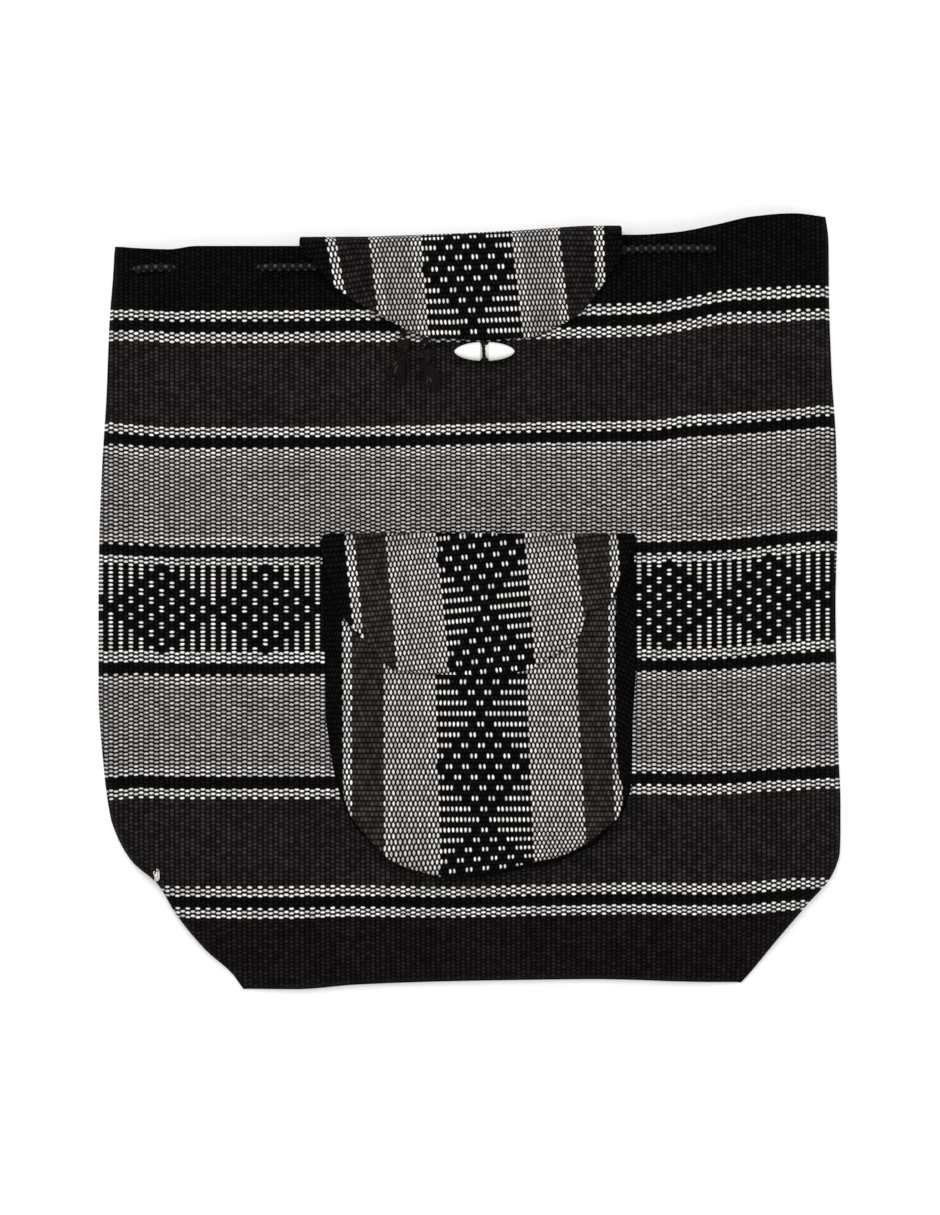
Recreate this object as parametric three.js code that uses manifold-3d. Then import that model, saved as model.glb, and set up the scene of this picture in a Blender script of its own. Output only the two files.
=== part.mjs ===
// A woven morral worn as a backpack, lying on its back: +X to the right, +Y to the mouth, +Z out of the front.
import * as THREE from "three";
import Module from "manifold-3d";

const manifold = await Module();
manifold.setup();

// Sizes, in millimetres
const GAP = 0.3; // kept between pieces that touch
const CLOTH = 2; // wall of every woven panel
const BAG = { width: 409, height: 426, rise: 17, turn: 45 };
const CORD = { radius: 2.25, ease: 0.4, sides: 8, steps: 90, over: 0.6, under: 0.6 };
const STRAP = { width: 38, thickness: 2.4, spread: 26, ease: 16 };
const HANG = 0.5; // air under a flap
const FLAP = { width: 175, start: 112.4, drop: 53, crown: 5.2, root: 18, spread: 10, ease: 16 };
const POCKET = { width: 173, height: 187.5, start: 123.8, top: 36.3, depth: 5.6, belly: 3.2, turn: 14, lip: 10 };
const GUSSET = { swell: 0.25 }; // how far its middle bulges, as a share of its depth
const POCKET_FLAP = { width: 171.5, start: 123.9, drop: 76.5 };
const TOGGLE = { x: 8.5, below: 2, length: 33, radius: 5.2, waist: 3.6, groove: 4.2, bevel: 0.4, sides: 12 };
// The two powers of the toggle's curve: the first fills its belly and the second draws in its tips
const SPINDLE = { belly: 2.1, tips: 0.575 };
// The toggle's loop runs round its waist between two turns, in half circles from the mouth's side
const LOOP = { radius: 1.1, ease: 0.2, spread: 1.3, lean: 0.8, first: 0.1, last: 1.78 };
const TASSEL = { knot: 4.4, flatten: 0.82, lock: 1.25, tip: 0.7 };

// The plan of the bag: how far each edge lies in from the box round the bag, as shares of its width or height
const ENDS = [
  { across: 0.02, mouth: 0.042, bottom: 0.001 },
  { across: 0.064, mouth: 0.0453, bottom: 0.001 },
  { across: 0.098, mouth: 0.0467, bottom: 0.001 },
  { across: 0.134, mouth: 0.0425, bottom: 0.001 },
  { across: 0.266, mouth: 0.0425, bottom: 0 },
  { across: 0.347, mouth: 0.042, bottom: 0.006 },
  { across: 0.454, mouth: 0.039, bottom: 0.01 },
  { across: 0.562, mouth: 0.034, bottom: 0.012 },
  { across: 0.669, mouth: 0.028, bottom: 0.013 },
  { across: 0.723, mouth: 0.028, bottom: 0.012 },
  { across: 0.777, mouth: 0.0248, bottom: 0.01 },
  { across: 0.831, mouth: 0.015, bottom: 0.009 },
  { across: 0.884, mouth: 0.004, bottom: 0.009 },
  { across: 0.938, mouth: 0, bottom: 0.009 },
  { across: 0.982, mouth: 0.004, bottom: 0.009 },
];
const SIDES = [
  { up: 0, left: 0.196, right: 0.133 },
  { up: 0.018, left: 0.1835, right: 0.117 },
  { up: 0.05, left: 0.1475, right: 0.09 },
  { up: 0.1, left: 0.107, right: 0.046 },
  { up: 0.14, left: 0.083, right: 0.012 },
  { up: 0.17, left: 0.048, right: 0.002 },
  { up: 0.2, left: 0.0296, right: 0.0013 },
  { up: 0.23, left: 0.0188, right: 0.0013 },
  { up: 0.3, left: 0.0094, right: 0.004 },
  { up: 0.4, left: 0.0027, right: 0.0067 },
  { up: 0.5, left: 0.0027, right: 0.008 },
  { up: 0.6, left: 0.0035, right: 0.0054 },
  { up: 0.7, left: 0.0074, right: 0.0071 },
  { up: 0.8, left: 0.0134, right: 0.0134 },
  { up: 0.9, left: 0.0175, right: 0.0168 },
  { up: 0.97, left: 0.0228, right: 0.0175 },
  { up: 1, left: 0.0242, right: 0.021 },
];
// Soft dents of the front: place and reach as shares of the bag, depth as a share of its rise
const DENTS = [
  { across: 0.13, up: 0.42, wide: 0.05, tall: 0.16, depth: 0.09 },
  { across: 0.9, up: 0.62, wide: 0.05, tall: 0.2, depth: 0.1 },
  { across: 0.87, up: 0.2, wide: 0.06, tall: 0.1, depth: 0.07 },
  { across: 0.2, up: 0.85, wide: 0.1, tall: 0.05, depth: 0.06 },
];
// The main flap from its hem up: how far each side lies in, as shares of its width
const FLAP_SIDES = [
  { up: 0, left: 0.41, right: 0.29 },
  { up: 0.04, left: 0.372, right: 0.256 },
  { up: 0.1, left: 0.328, right: 0.213 },
  { up: 0.2, left: 0.276, right: 0.15 },
  { up: 0.3, left: 0.225, right: 0.112 },
  { up: 0.4, left: 0.171, right: 0.086 },
  { up: 0.5, left: 0.131, right: 0.063 },
  { up: 0.6, left: 0.095, right: 0.042 },
  { up: 0.7, left: 0.069, right: 0.018 },
  { up: 0.8, left: 0.047, right: 0 },
  { up: 0.9, left: 0.018, right: 0 },
  { up: 1, left: 0, right: 0 },
];
// The pocket from its bottom up: its front panel and the foot of its gusset, as shares of its width
const POCKET_SIDES = [
  { up: 0, left: 0.384, right: 0.533, footLeft: 0.39, footRight: 0.514 },
  { up: 0.008, left: 0.349, right: 0.505, footLeft: 0.35, footRight: 0.454 },
  { up: 0.03, left: 0.265, right: 0.4, footLeft: 0.262, footRight: 0.324 },
  { up: 0.045, left: 0.229, right: 0.324, footLeft: 0.225, footRight: 0.25 },
  { up: 0.062, left: 0.198, right: 0.244, footLeft: 0.194, footRight: 0.206 },
  { up: 0.096, left: 0.162, right: 0.168, footLeft: 0.158, footRight: 0.13 },
  { up: 0.14, left: 0.121, right: 0.102, footLeft: 0.11, footRight: 0.09 },
  { up: 0.19, left: 0.085, right: 0.052, footLeft: 0.079, footRight: 0.044 },
  { up: 0.25, left: 0.068, right: 0.045, footLeft: 0.054, footRight: 0.021 },
  { up: 0.32, left: 0.066, right: 0.06, footLeft: 0.035, footRight: 0.017 },
  { up: 0.46, left: 0.064, right: 0.068, footLeft: 0.0125, footRight: 0.014 },
  { up: 0.66, left: 0.063, right: 0.069, footLeft: 0.009, footRight: 0 },
  { up: 1, left: 0.063, right: 0.063, footLeft: 0, footRight: 0.01 },
];
// The pocket's flap from its hem up: how far each side lies in, as shares of its width
const POCKET_FLAP_SIDES = [
  { up: 0, left: 0.38, right: 0.4167 },
  { up: 0.04, left: 0.232, right: 0.3335 },
  { up: 0.11, left: 0.195, right: 0.285 },
  { up: 0.2, left: 0.158, right: 0.2175 },
  { up: 0.3, left: 0.1166, right: 0.1785 },
  { up: 0.42, left: 0.0694, right: 0.163 },
  { up: 0.46, left: 0.061, right: 0.145 },
  { up: 0.5, left: 0.055, right: 0.089 },
  { up: 0.55, left: 0.0465, right: 0.071 },
  { up: 0.7, left: 0.027, right: 0.0465 },
  { up: 0.85, left: 0.008, right: 0.018 },
  { up: 0.95, left: 0, right: 0 },
  { up: 1, left: 0.01, right: 0.005 },
];
// The line of the left strap on the bag's back, as shares of the bag from its middle; the right one mirrors it
const STRAP_LINE = [
  { across: -0.1, up: 0.385 },
  { across: -0.13, up: 0.31 },
  { across: -0.23, up: 0.18 },
  { across: -0.31, up: 0.04 },
  { across: -0.335, up: -0.12 },
  { across: -0.335, up: -0.26 },
  { across: -0.315, up: -0.33 },
];
// The drawstring from its left end round the bag's mouth to its right end, in millimetres.
// It lies over the front, under it, between the two panels at a side seam, or along the back inside the bag.
const DRAWSTRING_ROUTE = [
  [-34, 176, "over"],
  [-34, 181, "over"],
  [-37, 189, "under"],
  [-48, 189, "under"],
  [-62, 187, "under"],
  [-71, 185, "under"],
  [-80, 184, "over"],
  [-94, 183.5, "over"],
  [-110, 183.4, "over"],
  [-119, 183.3, "under"],
  [-139, 183.3, "under"],
  [-158, 183.3, "under"],
  [-167.5, 183.2, "over"],
  [-178, 183, "over"],
  [-187, 181, "between"],
  [-190, 175, "between"],
  [-185, 169.5, "back"],
  [-165, 168.5, "back"],
  [-120, 168.5, "back"],
  [-60, 170, "back"],
  [0, 172.5, "back"],
  [60, 175.5, "back"],
  [120, 178, "back"],
  [165, 179, "back"],
  [181, 181, "back"],
  [187, 187, "between"],
  [182, 192.5, "under"],
  [172, 193.5, "under"],
  [155, 193.6, "under"],
  [138.3, 193.6, "under"],
  [129, 193.6, "over"],
  [100, 193.5, "over"],
  [79, 192.5, "over"],
  [69, 192, "under"],
  [50, 191.5, "under"],
  [20, 190.5, "under"],
  [-8, 190, "under"],
  [-19, 189, "under"],
  [-24.5, 181, "over"],
  [-24.5, 176, "over"],
];
// The two free ends, over the front and down to their tassels, in millimetres
const TAIL_ROUTES = {
  left: [
    [-34, 175.7],
    [-34.3, 171],
    [-34.8, 165],
    [-35.3, 159],
    [-35.7, 153],
    [-35.9, 145.3],
  ],
  right: [
    [-24.5, 175.7],
    [-24.2, 168],
    [-24, 160],
    [-23.9, 152],
    [-23.8, 146],
    [-23.7, 139.8],
  ],
};
// Each tassel's knot, and the tips of its locks from the knot, in millimetres
const TASSELS = {
  left: { x: -36, y: 140.5, tips: [[-10, -21], [-7, -24], [-4, -20], [-1, -24], [1.5, -19]] },
  right: { x: -23.7, y: 135, tips: [[-4, -17], [0, -21], [4, -19], [8, -23], [12, -20]] },
};

const lerp = THREE.MathUtils.lerp;
const smooth = THREE.MathUtils.smoothstep;

// A smooth curve through a table's rows that never swings past them
function curve(rows, along, value) {
  const xs = rows.map((row) => row[along]);
  const ys = rows.map((row) => row[value]);
  const slopes = xs.slice(1).map((x, i) => (ys[i + 1] - ys[i]) / (x - xs[i]));
  const tangents = xs.map((_, i) => {
    if (i === 0) return slopes[0];
    if (i === xs.length - 1) return slopes[i - 1];
    const turns = slopes[i - 1] * slopes[i] <= 0;
    return turns ? 0 : (2 * slopes[i - 1] * slopes[i]) / (slopes[i - 1] + slopes[i]);
  });
  return (x) => {
    if (x <= xs[0]) return ys[0];
    if (x >= xs[xs.length - 1]) return ys[ys.length - 1];
    const i = xs.findIndex((end) => end > x) - 1;
    const step = xs[i + 1] - xs[i];
    const t = (x - xs[i]) / step;
    const rise = t * t * (3 - 2 * t);
    const leave = t * (1 - t) * (1 - t) * tangents[i] * step;
    const arrive = t * t * (t - 1) * tangents[i + 1] * step;
    return lerp(ys[i], ys[i + 1], rise) + leave + arrive;
  };
}

const mouthEdge = curve(ENDS, "across", "mouth");
const bottomEdge = curve(ENDS, "across", "bottom");
const leftEdge = curve(SIDES, "up", "left");
const rightEdge = curve(SIDES, "up", "right");

// Spreads steps so that they are close at both ends
const closeAtEnds = (t, pull) => t - (pull * Math.sin(2 * Math.PI * t)) / (2 * Math.PI);

// The rise of cloth that turns up over a rounded edge, from 0 on the edge to 1
const rounded = (distance, reach) => Math.sqrt(1 - (1 - Math.min(Math.max(distance, 0) / reach, 1)) ** 2);

// A closed wall of cloth between two grids: place(u, v, depth) gives a point of its outer or inner face
function wall(columns, rows, thickness, place, spreadU = (t) => t, spreadV = (t) => t) {
  const points = [];
  for (const depth of [0, thickness])
    for (let j = 0; j <= rows; j++)
      for (let i = 0; i <= columns; i++)
        points.push(...place(spreadU(i / columns), spreadV(j / rows), depth));
  const layer = (columns + 1) * (rows + 1);
  const at = (i, j, inner) => inner * layer + j * (columns + 1) + i;
  const faces = [];
  const quad = (a, b, c, d) => faces.push(a, b, c, a, c, d);
  for (let j = 0; j < rows; j++)
    for (let i = 0; i < columns; i++) {
      quad(at(i, j, 0), at(i + 1, j, 0), at(i + 1, j + 1, 0), at(i, j + 1, 0));
      quad(at(i, j, 1), at(i, j + 1, 1), at(i + 1, j + 1, 1), at(i + 1, j, 1));
    }
  for (let i = 0; i < columns; i++) {
    quad(at(i, 0, 0), at(i, 0, 1), at(i + 1, 0, 1), at(i + 1, 0, 0));
    quad(at(i, rows, 0), at(i + 1, rows, 0), at(i + 1, rows, 1), at(i, rows, 1));
  }
  for (let j = 0; j < rows; j++) {
    quad(at(0, j, 0), at(0, j + 1, 0), at(0, j + 1, 1), at(0, j, 1));
    quad(at(columns, j, 0), at(columns, j, 1), at(columns, j + 1, 1), at(columns, j + 1, 0));
  }
  return new THREE.BufferGeometry()
    .setAttribute("position", new THREE.Float32BufferAttribute(points, 3))
    .setIndex(faces);
}

// The height that cloth takes over things that lie under it, each a point with its height
function drape(things, spread, ease, x, y) {
  let height = 0;
  for (const thing of things) {
    const distance = Math.hypot(x - thing.x, y - thing.y) - thing.reach;
    height = Math.max(height, thing.height * (1 - smooth(distance, spread, spread + ease)));
  }
  return height;
}

// A tube along a route of [x, y, z] points
function tube(route, radius, steps, sides) {
  const path = new THREE.CatmullRomCurve3(route.map((p) => new THREE.Vector3(...p)), false, "centripetal");
  const section = new THREE.Shape();
  for (let i = 0; i < sides; i++) {
    const turn = (2 * Math.PI * i) / sides;
    const corner = [radius * Math.cos(turn), radius * Math.sin(turn)];
    if (i === 0) section.moveTo(...corner);
    else section.lineTo(...corner);
  }
  return new THREE.ExtrudeGeometry(section, { steps, extrudePath: path });
}

// A geometry as a manifold solid, and back again
function solid(geometry) {
  const loose = geometry.index ? geometry.toNonIndexed() : geometry;
  const position = loose.getAttribute("position");
  const mesh = new manifold.Mesh({
    numProp: 3,
    vertProperties: new Float32Array(position.array),
    triVerts: new Uint32Array(position.count).map((_, i) => i),
  });
  mesh.merge();
  return new manifold.Manifold(mesh);
}
function geometryOf(body) {
  const mesh = body.getMesh();
  return new THREE.BufferGeometry()
    .setAttribute("position", new THREE.BufferAttribute(new Float32Array(mesh.vertProperties), 3))
    .setIndex(new THREE.BufferAttribute(new Uint32Array(mesh.triVerts), 1));
}

// The plan of the bag at shares u across and v up, drawn in by an inset on its closed sides
function plan(u, v, inset) {
  const left = -BAG.width / 2 + leftEdge(v) * BAG.width + inset;
  const right = BAG.width / 2 - rightEdge(v) * BAG.width - inset;
  const x = lerp(left, right, u);
  const across = x / BAG.width + 0.5;
  const bottom = -BAG.height / 2 + bottomEdge(across) * BAG.height + inset;
  const mouth = BAG.height / 2 - mouthEdge(across) * BAG.height;
  const y = lerp(bottom, mouth, v);
  return { x, y, side: Math.min(u, 1 - u) * (right - left), foot: y - bottom };
}

// The same shares for a point of the plan
function shares(x, y) {
  const across = x / BAG.width + 0.5;
  const bottom = -BAG.height / 2 + bottomEdge(across) * BAG.height;
  const mouth = BAG.height / 2 - mouthEdge(across) * BAG.height;
  const v = (y - bottom) / (mouth - bottom);
  const left = -BAG.width / 2 + leftEdge(v) * BAG.width;
  const right = BAG.width / 2 - rightEdge(v) * BAG.width;
  return { v, side: Math.min(x - left, right - x), foot: y - bottom };
}

const mouthY = (x) => BAG.height * (0.5 - mouthEdge(x / BAG.width + 0.5));

// What lies between the bag's back and the surface: the straps and the root of the main flap
function strapLine(side) {
  const points = STRAP_LINE.map((p) => new THREE.Vector3(-side * p.across * BAG.width, p.up * BAG.height, 0));
  return new THREE.CatmullRomCurve3(points, false, "centripetal");
}
const underBack = [];
for (const side of [-1, 1])
  for (const p of strapLine(side).getSpacedPoints(30))
    underBack.push({ x: p.x, y: p.y, reach: STRAP.width / 2, height: STRAP.thickness + GAP });
const flapLeft = FLAP.start - BAG.width / 2;
for (let i = 0; i <= 12; i++) {
  const x = flapLeft + (FLAP.width * i) / 12;
  underBack.push({ x, y: mouthY(x), reach: FLAP.root, height: CLOTH + GAP });
}
const backLift = (x, y) => drape(underBack, STRAP.spread, STRAP.ease, x, y);

function dent(x, y) {
  let depth = 0;
  for (const d of DENTS) {
    const across = (x / BAG.width + 0.5 - d.across) / d.wide;
    const up = (y / BAG.height + 0.5 - d.up) / d.tall;
    depth += d.depth * BAG.rise * Math.exp(-across * across - up * up);
  }
  return depth;
}

// The height of the front panel: it turns up round the sides and the bottom from the seam to its flat top
function frontHeight(x, y, side, foot, inset) {
  const seam = backLift(x, y) + CLOTH + GAP;
  const reach = BAG.turn - inset;
  const puff = rounded(side, reach) * rounded(foot, reach);
  const top = BAG.rise + CLOTH + GAP - inset;
  return lerp(seam, top - dent(x, y), puff);
}
function frontAt(x, y, depth) {
  const at = shares(x, y);
  return frontHeight(x, y, at.side - depth, at.foot - depth, depth);
}

const GRID = { columns: 26, rows: 20, pull: 0.72, pullUp: 0.55 };
const spreadAcross = (t) => closeAtEnds(t, GRID.pull);
const spreadUp = (t) => closeAtEnds(t, GRID.pullUp);

function bagFront() {
  const place = (u, v, depth) => {
    const p = plan(u, v, depth);
    return [p.x, p.y, frontHeight(p.x, p.y, p.side, p.foot, depth)];
  };
  return wall(GRID.columns, GRID.rows, CLOTH, place, spreadAcross, spreadUp);
}

function bagBack() {
  const place = (u, v, depth) => {
    const p = plan(u, v, 0);
    return [p.x, p.y, backLift(p.x, p.y) + CLOTH - depth];
  };
  return wall(GRID.columns, GRID.rows, CLOTH, place, spreadAcross, spreadUp);
}

function strap(side) {
  const line = strapLine(side);
  const place = (u, v, depth) => {
    const middle = line.getPointAt(v);
    const along = line.getTangentAt(v);
    const off = (u - 0.5) * STRAP.width;
    return [middle.x - along.y * off, middle.y + along.x * off, depth];
  };
  return wall(2, 22, STRAP.thickness, place);
}

// The heights that a cord's middle takes on each layer
function cordHeight(x, y, layer) {
  const inside = frontAt(x, y, CLOTH) - CORD.under - CORD.radius;
  const onBack = backLift(x, y) + CLOTH + CORD.under + CORD.radius;
  if (layer === "over") return frontAt(x, y, 0) + CORD.over + CORD.radius;
  if (layer === "under") return inside;
  if (layer === "back") return onBack;
  return (inside + onBack) / 2;
}
const drawstringRoute = DRAWSTRING_ROUTE.map(([x, y, layer]) => [x, y, cordHeight(x, y, layer)]);
const tailRoute = (side) => TAIL_ROUTES[side].map(([x, y]) => [x, y, cordHeight(x, y, "over")]);

// The main flap: over the front, round the mouth and down behind the back
const underFlap = [];
for (const [x, y, layer] of DRAWSTRING_ROUTE)
  if (layer === "over" && x > flapLeft - FLAP.spread && x < flapLeft + FLAP.width + FLAP.spread)
    underFlap.push({ x, y, reach: CORD.radius, height: CORD.over + 2 * CORD.radius });
for (const side of ["left", "right"])
  for (const [x, y] of TAIL_ROUTES[side])
    underFlap.push({ x, y, reach: CORD.radius, height: CORD.over + 2 * CORD.radius });

const flapLeftEdge = curve(FLAP_SIDES, "up", "left");
const flapRightEdge = curve(FLAP_SIDES, "up", "right");
const FLAP_ROWS = { front: 11, crown: 5, root: 2 };
const flapHem = mouthY(0) - FLAP.drop;

function mainFlap() {
  const rows = FLAP_ROWS.front + FLAP_ROWS.crown + FLAP_ROWS.root;
  const place = (u, v, depth) => {
    const row = v * rows;
    const up = Math.min(row / FLAP_ROWS.front, 1);
    const left = flapLeft + flapLeftEdge(up) * FLAP.width;
    const right = flapLeft + FLAP.width - flapRightEdge(up) * FLAP.width;
    const x = lerp(left, right, u);
    const edge = mouthY(x) + GAP;
    const over = (y) => frontAt(x, y, 0) + drape(underFlap, FLAP.spread, FLAP.ease, x, y) + HANG + CLOTH;
    if (row <= FLAP_ROWS.front) {
      const y = lerp(flapHem, edge, up);
      return [x, y, over(y) - depth];
    }
    const high = over(edge) - depth;
    const bend = Math.min((row - FLAP_ROWS.front) / FLAP_ROWS.crown, 1) * Math.PI;
    const middle = (high + depth) / 2;
    const y = edge + (FLAP.crown - depth) * Math.sin(bend);
    const z = middle + (high - middle) * Math.cos(bend);
    const down = Math.max(row - FLAP_ROWS.front - FLAP_ROWS.crown, 0) / FLAP_ROWS.root;
    return [x, y - down * FLAP.root, z];
  };
  return wall(14, rows, CLOTH, place);
}

// The pocket's front stands on a gusset, whose foot follows the outline on the bag's front
const pocketX = (share) => POCKET.start - BAG.width / 2 + share * POCKET.width;
const pocketY = (up) => POCKET.top - POCKET.height * (1 - up);
const pocketCurve = (key) => curve(POCKET_SIDES, "up", key);
const pocketLeft = pocketCurve("left");
const pocketRight = pocketCurve("right");
const pocketMouth = 1 - POCKET.lip / POCKET.height;

function pocketHeight(x, y, side, foot, inset) {
  const seam = frontAt(x, y, 0) + GAP + POCKET.depth + GAP;
  const reach = POCKET.turn - inset;
  return seam + (POCKET.belly + CLOTH - inset) * rounded(side, reach) * rounded(foot, reach);
}

function pocketFront() {
  const place = (u, v, depth) => {
    const up = v * pocketMouth;
    const left = pocketX(pocketLeft(up)) + depth;
    const right = pocketX(1 - pocketRight(up)) - depth;
    const x = lerp(left, right, u);
    const y = Math.max(pocketY(up), pocketY(0) + depth * (1 - v));
    const side = Math.min(u, 1 - u) * (right - left);
    return [x, y, pocketHeight(x, y, side, pocketY(up) - pocketY(0), depth)];
  };
  const spread = (t) => lerp(t * t, t, 0.35);
  return wall(12, 12, CLOTH, place, (t) => closeAtEnds(t, 0.6), spread);
}

function pocketGusset() {
  const rows = POCKET_SIDES.filter((row) => row.up < 1);
  rows.push({ ...POCKET_SIDES[POCKET_SIDES.length - 1], up: pocketMouth });
  const stations = [
    ...[...rows].reverse().map((row) => ({ up: row.up, top: row.left, foot: row.footLeft })),
    ...rows.map((row) => ({ up: row.up, top: 1 - row.right, foot: 1 - row.footRight })),
  ];
  const last = stations.length - 1;
  const edge = (i, key) => new THREE.Vector2(pocketX(stations[i][key]), pocketY(stations[i].up));
  const place = (u, v, depth) => {
    const i = Math.round(u * last);
    const foot = edge(i, "foot");
    const top = edge(i, "top");
    const along = edge(Math.min(i + 1, last), "foot").sub(edge(Math.max(i - 1, 0), "foot")).normalize();
    const point = foot.clone().lerp(top, v);
    point.x -= along.y * depth;
    point.y += along.x * depth;
    const swell = 1 + GUSSET.swell * Math.sin(Math.PI * v);
    return [point.x, point.y, frontAt(point.x, point.y, 0) + GAP + POCKET.depth * v * swell];
  };
  return wall(last, 3, CLOTH, place);
}

// The pocket's flap is sewn to the bag above the pocket and lies over the pocket's mouth
const pocketFlapLeft = curve(POCKET_FLAP_SIDES, "up", "left");
const pocketFlapRight = curve(POCKET_FLAP_SIDES, "up", "right");

function pocketFlap() {
  const start = POCKET_FLAP.start - BAG.width / 2;
  const seam = POCKET.top + GAP;
  const place = (u, v, depth) => {
    const left = start + pocketFlapLeft(v) * POCKET_FLAP.width;
    const right = start + POCKET_FLAP.width - pocketFlapRight(v) * POCKET_FLAP.width;
    const x = lerp(left, right, u);
    const y = seam - POCKET_FLAP.drop * (1 - v);
    const on = POCKET.depth + POCKET.belly + CLOTH + 2 * GAP;
    const climb = smooth(seam - y, 0, POCKET.lip - CLOTH);
    const height = lerp(GAP, on + HANG, climb) + CLOTH;
    return [x, y, frontAt(x, y, 0) + height - depth];
  };
  const spread = (t) => closeAtEnds(t, 0.8);
  return wall(10, 12, CLOTH, place, (t) => t, spread);
}

// The toggle: a spindle along X with a waist, lying on its loop below the flap's hem
const toggleY = flapHem - TOGGLE.below - TOGGLE.radius;
const loopTurn = TOGGLE.waist + LOOP.ease + LOOP.radius;
const toggleZ = frontAt(TOGGLE.x, toggleY, 0) + GAP + LOOP.radius + loopTurn;

function toggle() {
  const half = TOGGLE.length / 2;
  const shape = (share) => TOGGLE.radius * (1 - Math.abs(share) ** SPINDLE.belly) ** SPINDLE.tips;
  const stations = [-0.96, -0.85, -0.68, -0.46, -0.26, -TOGGLE.groove / TOGGLE.length];
  const low = stations.map((share) => new THREE.Vector2(shape(share), share * half));
  const high = [...low].reverse().map((point) => new THREE.Vector2(point.x, -point.y));
  const edge = TOGGLE.groove / 2 - TOGGLE.bevel;
  const waist = [-edge, edge].map((along) => new THREE.Vector2(TOGGLE.waist, along));
  const profile = [new THREE.Vector2(0, -half), ...low, ...waist, ...high, new THREE.Vector2(0, half)];
  const geometry = new THREE.LatheGeometry(profile, TOGGLE.sides);
  return geometry.rotateZ(-Math.PI / 2).translate(TOGGLE.x, toggleY, toggleZ);
}

function toggleLoop() {
  const root = flapHem - GAP - LOOP.radius;
  const start = frontAt(TOGGLE.x, root, 0) + HANG + CLOTH / 2;
  const route = [[TOGGLE.x - LOOP.spread, root, start]];
  const turns = 9;
  for (let i = 0; i <= turns; i++) {
    const turn = lerp(LOOP.first, LOOP.last, i / turns) * Math.PI;
    const x = TOGGLE.x + lerp(-LOOP.lean, LOOP.lean, i / turns);
    route.push([x, toggleY + loopTurn * Math.cos(turn), toggleZ + loopTurn * Math.sin(turn)]);
  }
  route.push([TOGGLE.x + LOOP.spread, root, start]);
  return tube(route, LOOP.radius, 26, 6);
}

// A knot with locks of yarn that fan from it and come down to the cloth
function tassel(side) {
  const { x, y, tips } = TASSELS[side];
  const knotZ = frontAt(x, y, 0) + CORD.over + TASSEL.knot * TASSEL.flatten;
  const knot = manifold.Manifold.sphere(TASSEL.knot, 12).scale([1, 1, TASSEL.flatten]).translate([x, y, knotZ]);
  const ball = (radius, px, py, pz) => manifold.Manifold.sphere(radius, 6).translate([px, py, pz]);
  const locks = tips.map(([dx, dy]) => {
    const low = frontAt(x + dx, y + dy, 0) + CORD.over + TASSEL.lock;
    const root = ball(TASSEL.lock, x + dx * 0.1, y + dy * 0.1, knotZ);
    const belly = ball(TASSEL.lock * 1.15, x + dx * 0.5, y + dy * 0.55, lerp(knotZ, low, 0.75));
    const tip = ball(TASSEL.tip, x + dx, y + dy, low);
    const upper = manifold.Manifold.hull([root, belly]);
    return upper.add(manifold.Manifold.hull([belly, tip]));
  });
  return geometryOf(manifold.Manifold.union([knot, ...locks]));
}

// Holes where the drawstring passes through the front
function pierced(front) {
  const cord = solid(tube(drawstringRoute, CORD.radius + CORD.ease, CORD.steps, CORD.sides));
  return geometryOf(solid(front).subtract(cord));
}

const cloth = (color) => new THREE.MeshStandardMaterial({ color, roughness: 0.92, metalness: 0 });
const BLACK = 0x161313;
const GREY = 0x4a4643;

const morral = new THREE.Group();
function add(name, geometry, material) {
  const mesh = new THREE.Mesh(geometry, material);
  mesh.name = name;
  morral.add(mesh);
}
add("bag_front", pierced(bagFront()), cloth(GREY));
add("bag_back", bagBack(), cloth(BLACK));
add("main_flap", mainFlap(), cloth(GREY));
add("drawstring", tube(drawstringRoute, CORD.radius, CORD.steps, CORD.sides), cloth(BLACK));
add("pocket_front", pocketFront(), cloth(GREY));
add("pocket_gusset", pocketGusset(), cloth(BLACK));
add("pocket_flap", pocketFlap(), cloth(GREY));
add("toggle", toggle(), new THREE.MeshStandardMaterial({ color: 0xf1f1ed, roughness: 0.35, metalness: 0 }));
add("toggle_loop", toggleLoop(), cloth(BLACK));
for (const side of ["left", "right"]) {
  add(side + "_tail", tube(tailRoute(side), CORD.radius, 10, CORD.sides), cloth(BLACK));
  add(side + "_tassel", tassel(side), cloth(BLACK));
  add(side + "_strap", strap(side === "left" ? -1 : 1), cloth(BLACK));
}

export default morral;
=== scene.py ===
"""Looks of a woven morral bag lying on its back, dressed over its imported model."""

import logging
import math
from dataclasses import dataclass
from enum import Enum
from typing import Any, Callable, NamedTuple, Sequence

import bpy
import numpy as np
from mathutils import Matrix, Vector

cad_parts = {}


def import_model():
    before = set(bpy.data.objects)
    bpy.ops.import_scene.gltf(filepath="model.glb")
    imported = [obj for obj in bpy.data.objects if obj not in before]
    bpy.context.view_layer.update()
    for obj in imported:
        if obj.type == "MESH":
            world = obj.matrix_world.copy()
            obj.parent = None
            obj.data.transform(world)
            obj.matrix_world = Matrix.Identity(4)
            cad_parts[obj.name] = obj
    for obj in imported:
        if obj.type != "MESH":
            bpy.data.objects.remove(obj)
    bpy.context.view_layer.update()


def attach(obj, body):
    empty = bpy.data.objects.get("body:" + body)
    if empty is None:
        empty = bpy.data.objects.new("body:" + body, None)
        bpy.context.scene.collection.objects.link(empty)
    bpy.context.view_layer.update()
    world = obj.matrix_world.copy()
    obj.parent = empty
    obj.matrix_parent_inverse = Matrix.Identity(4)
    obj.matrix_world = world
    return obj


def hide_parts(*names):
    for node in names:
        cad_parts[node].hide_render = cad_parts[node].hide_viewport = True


LOG = logging.getLogger("morral")
MM = 0.001
Array = np.ndarray


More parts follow.
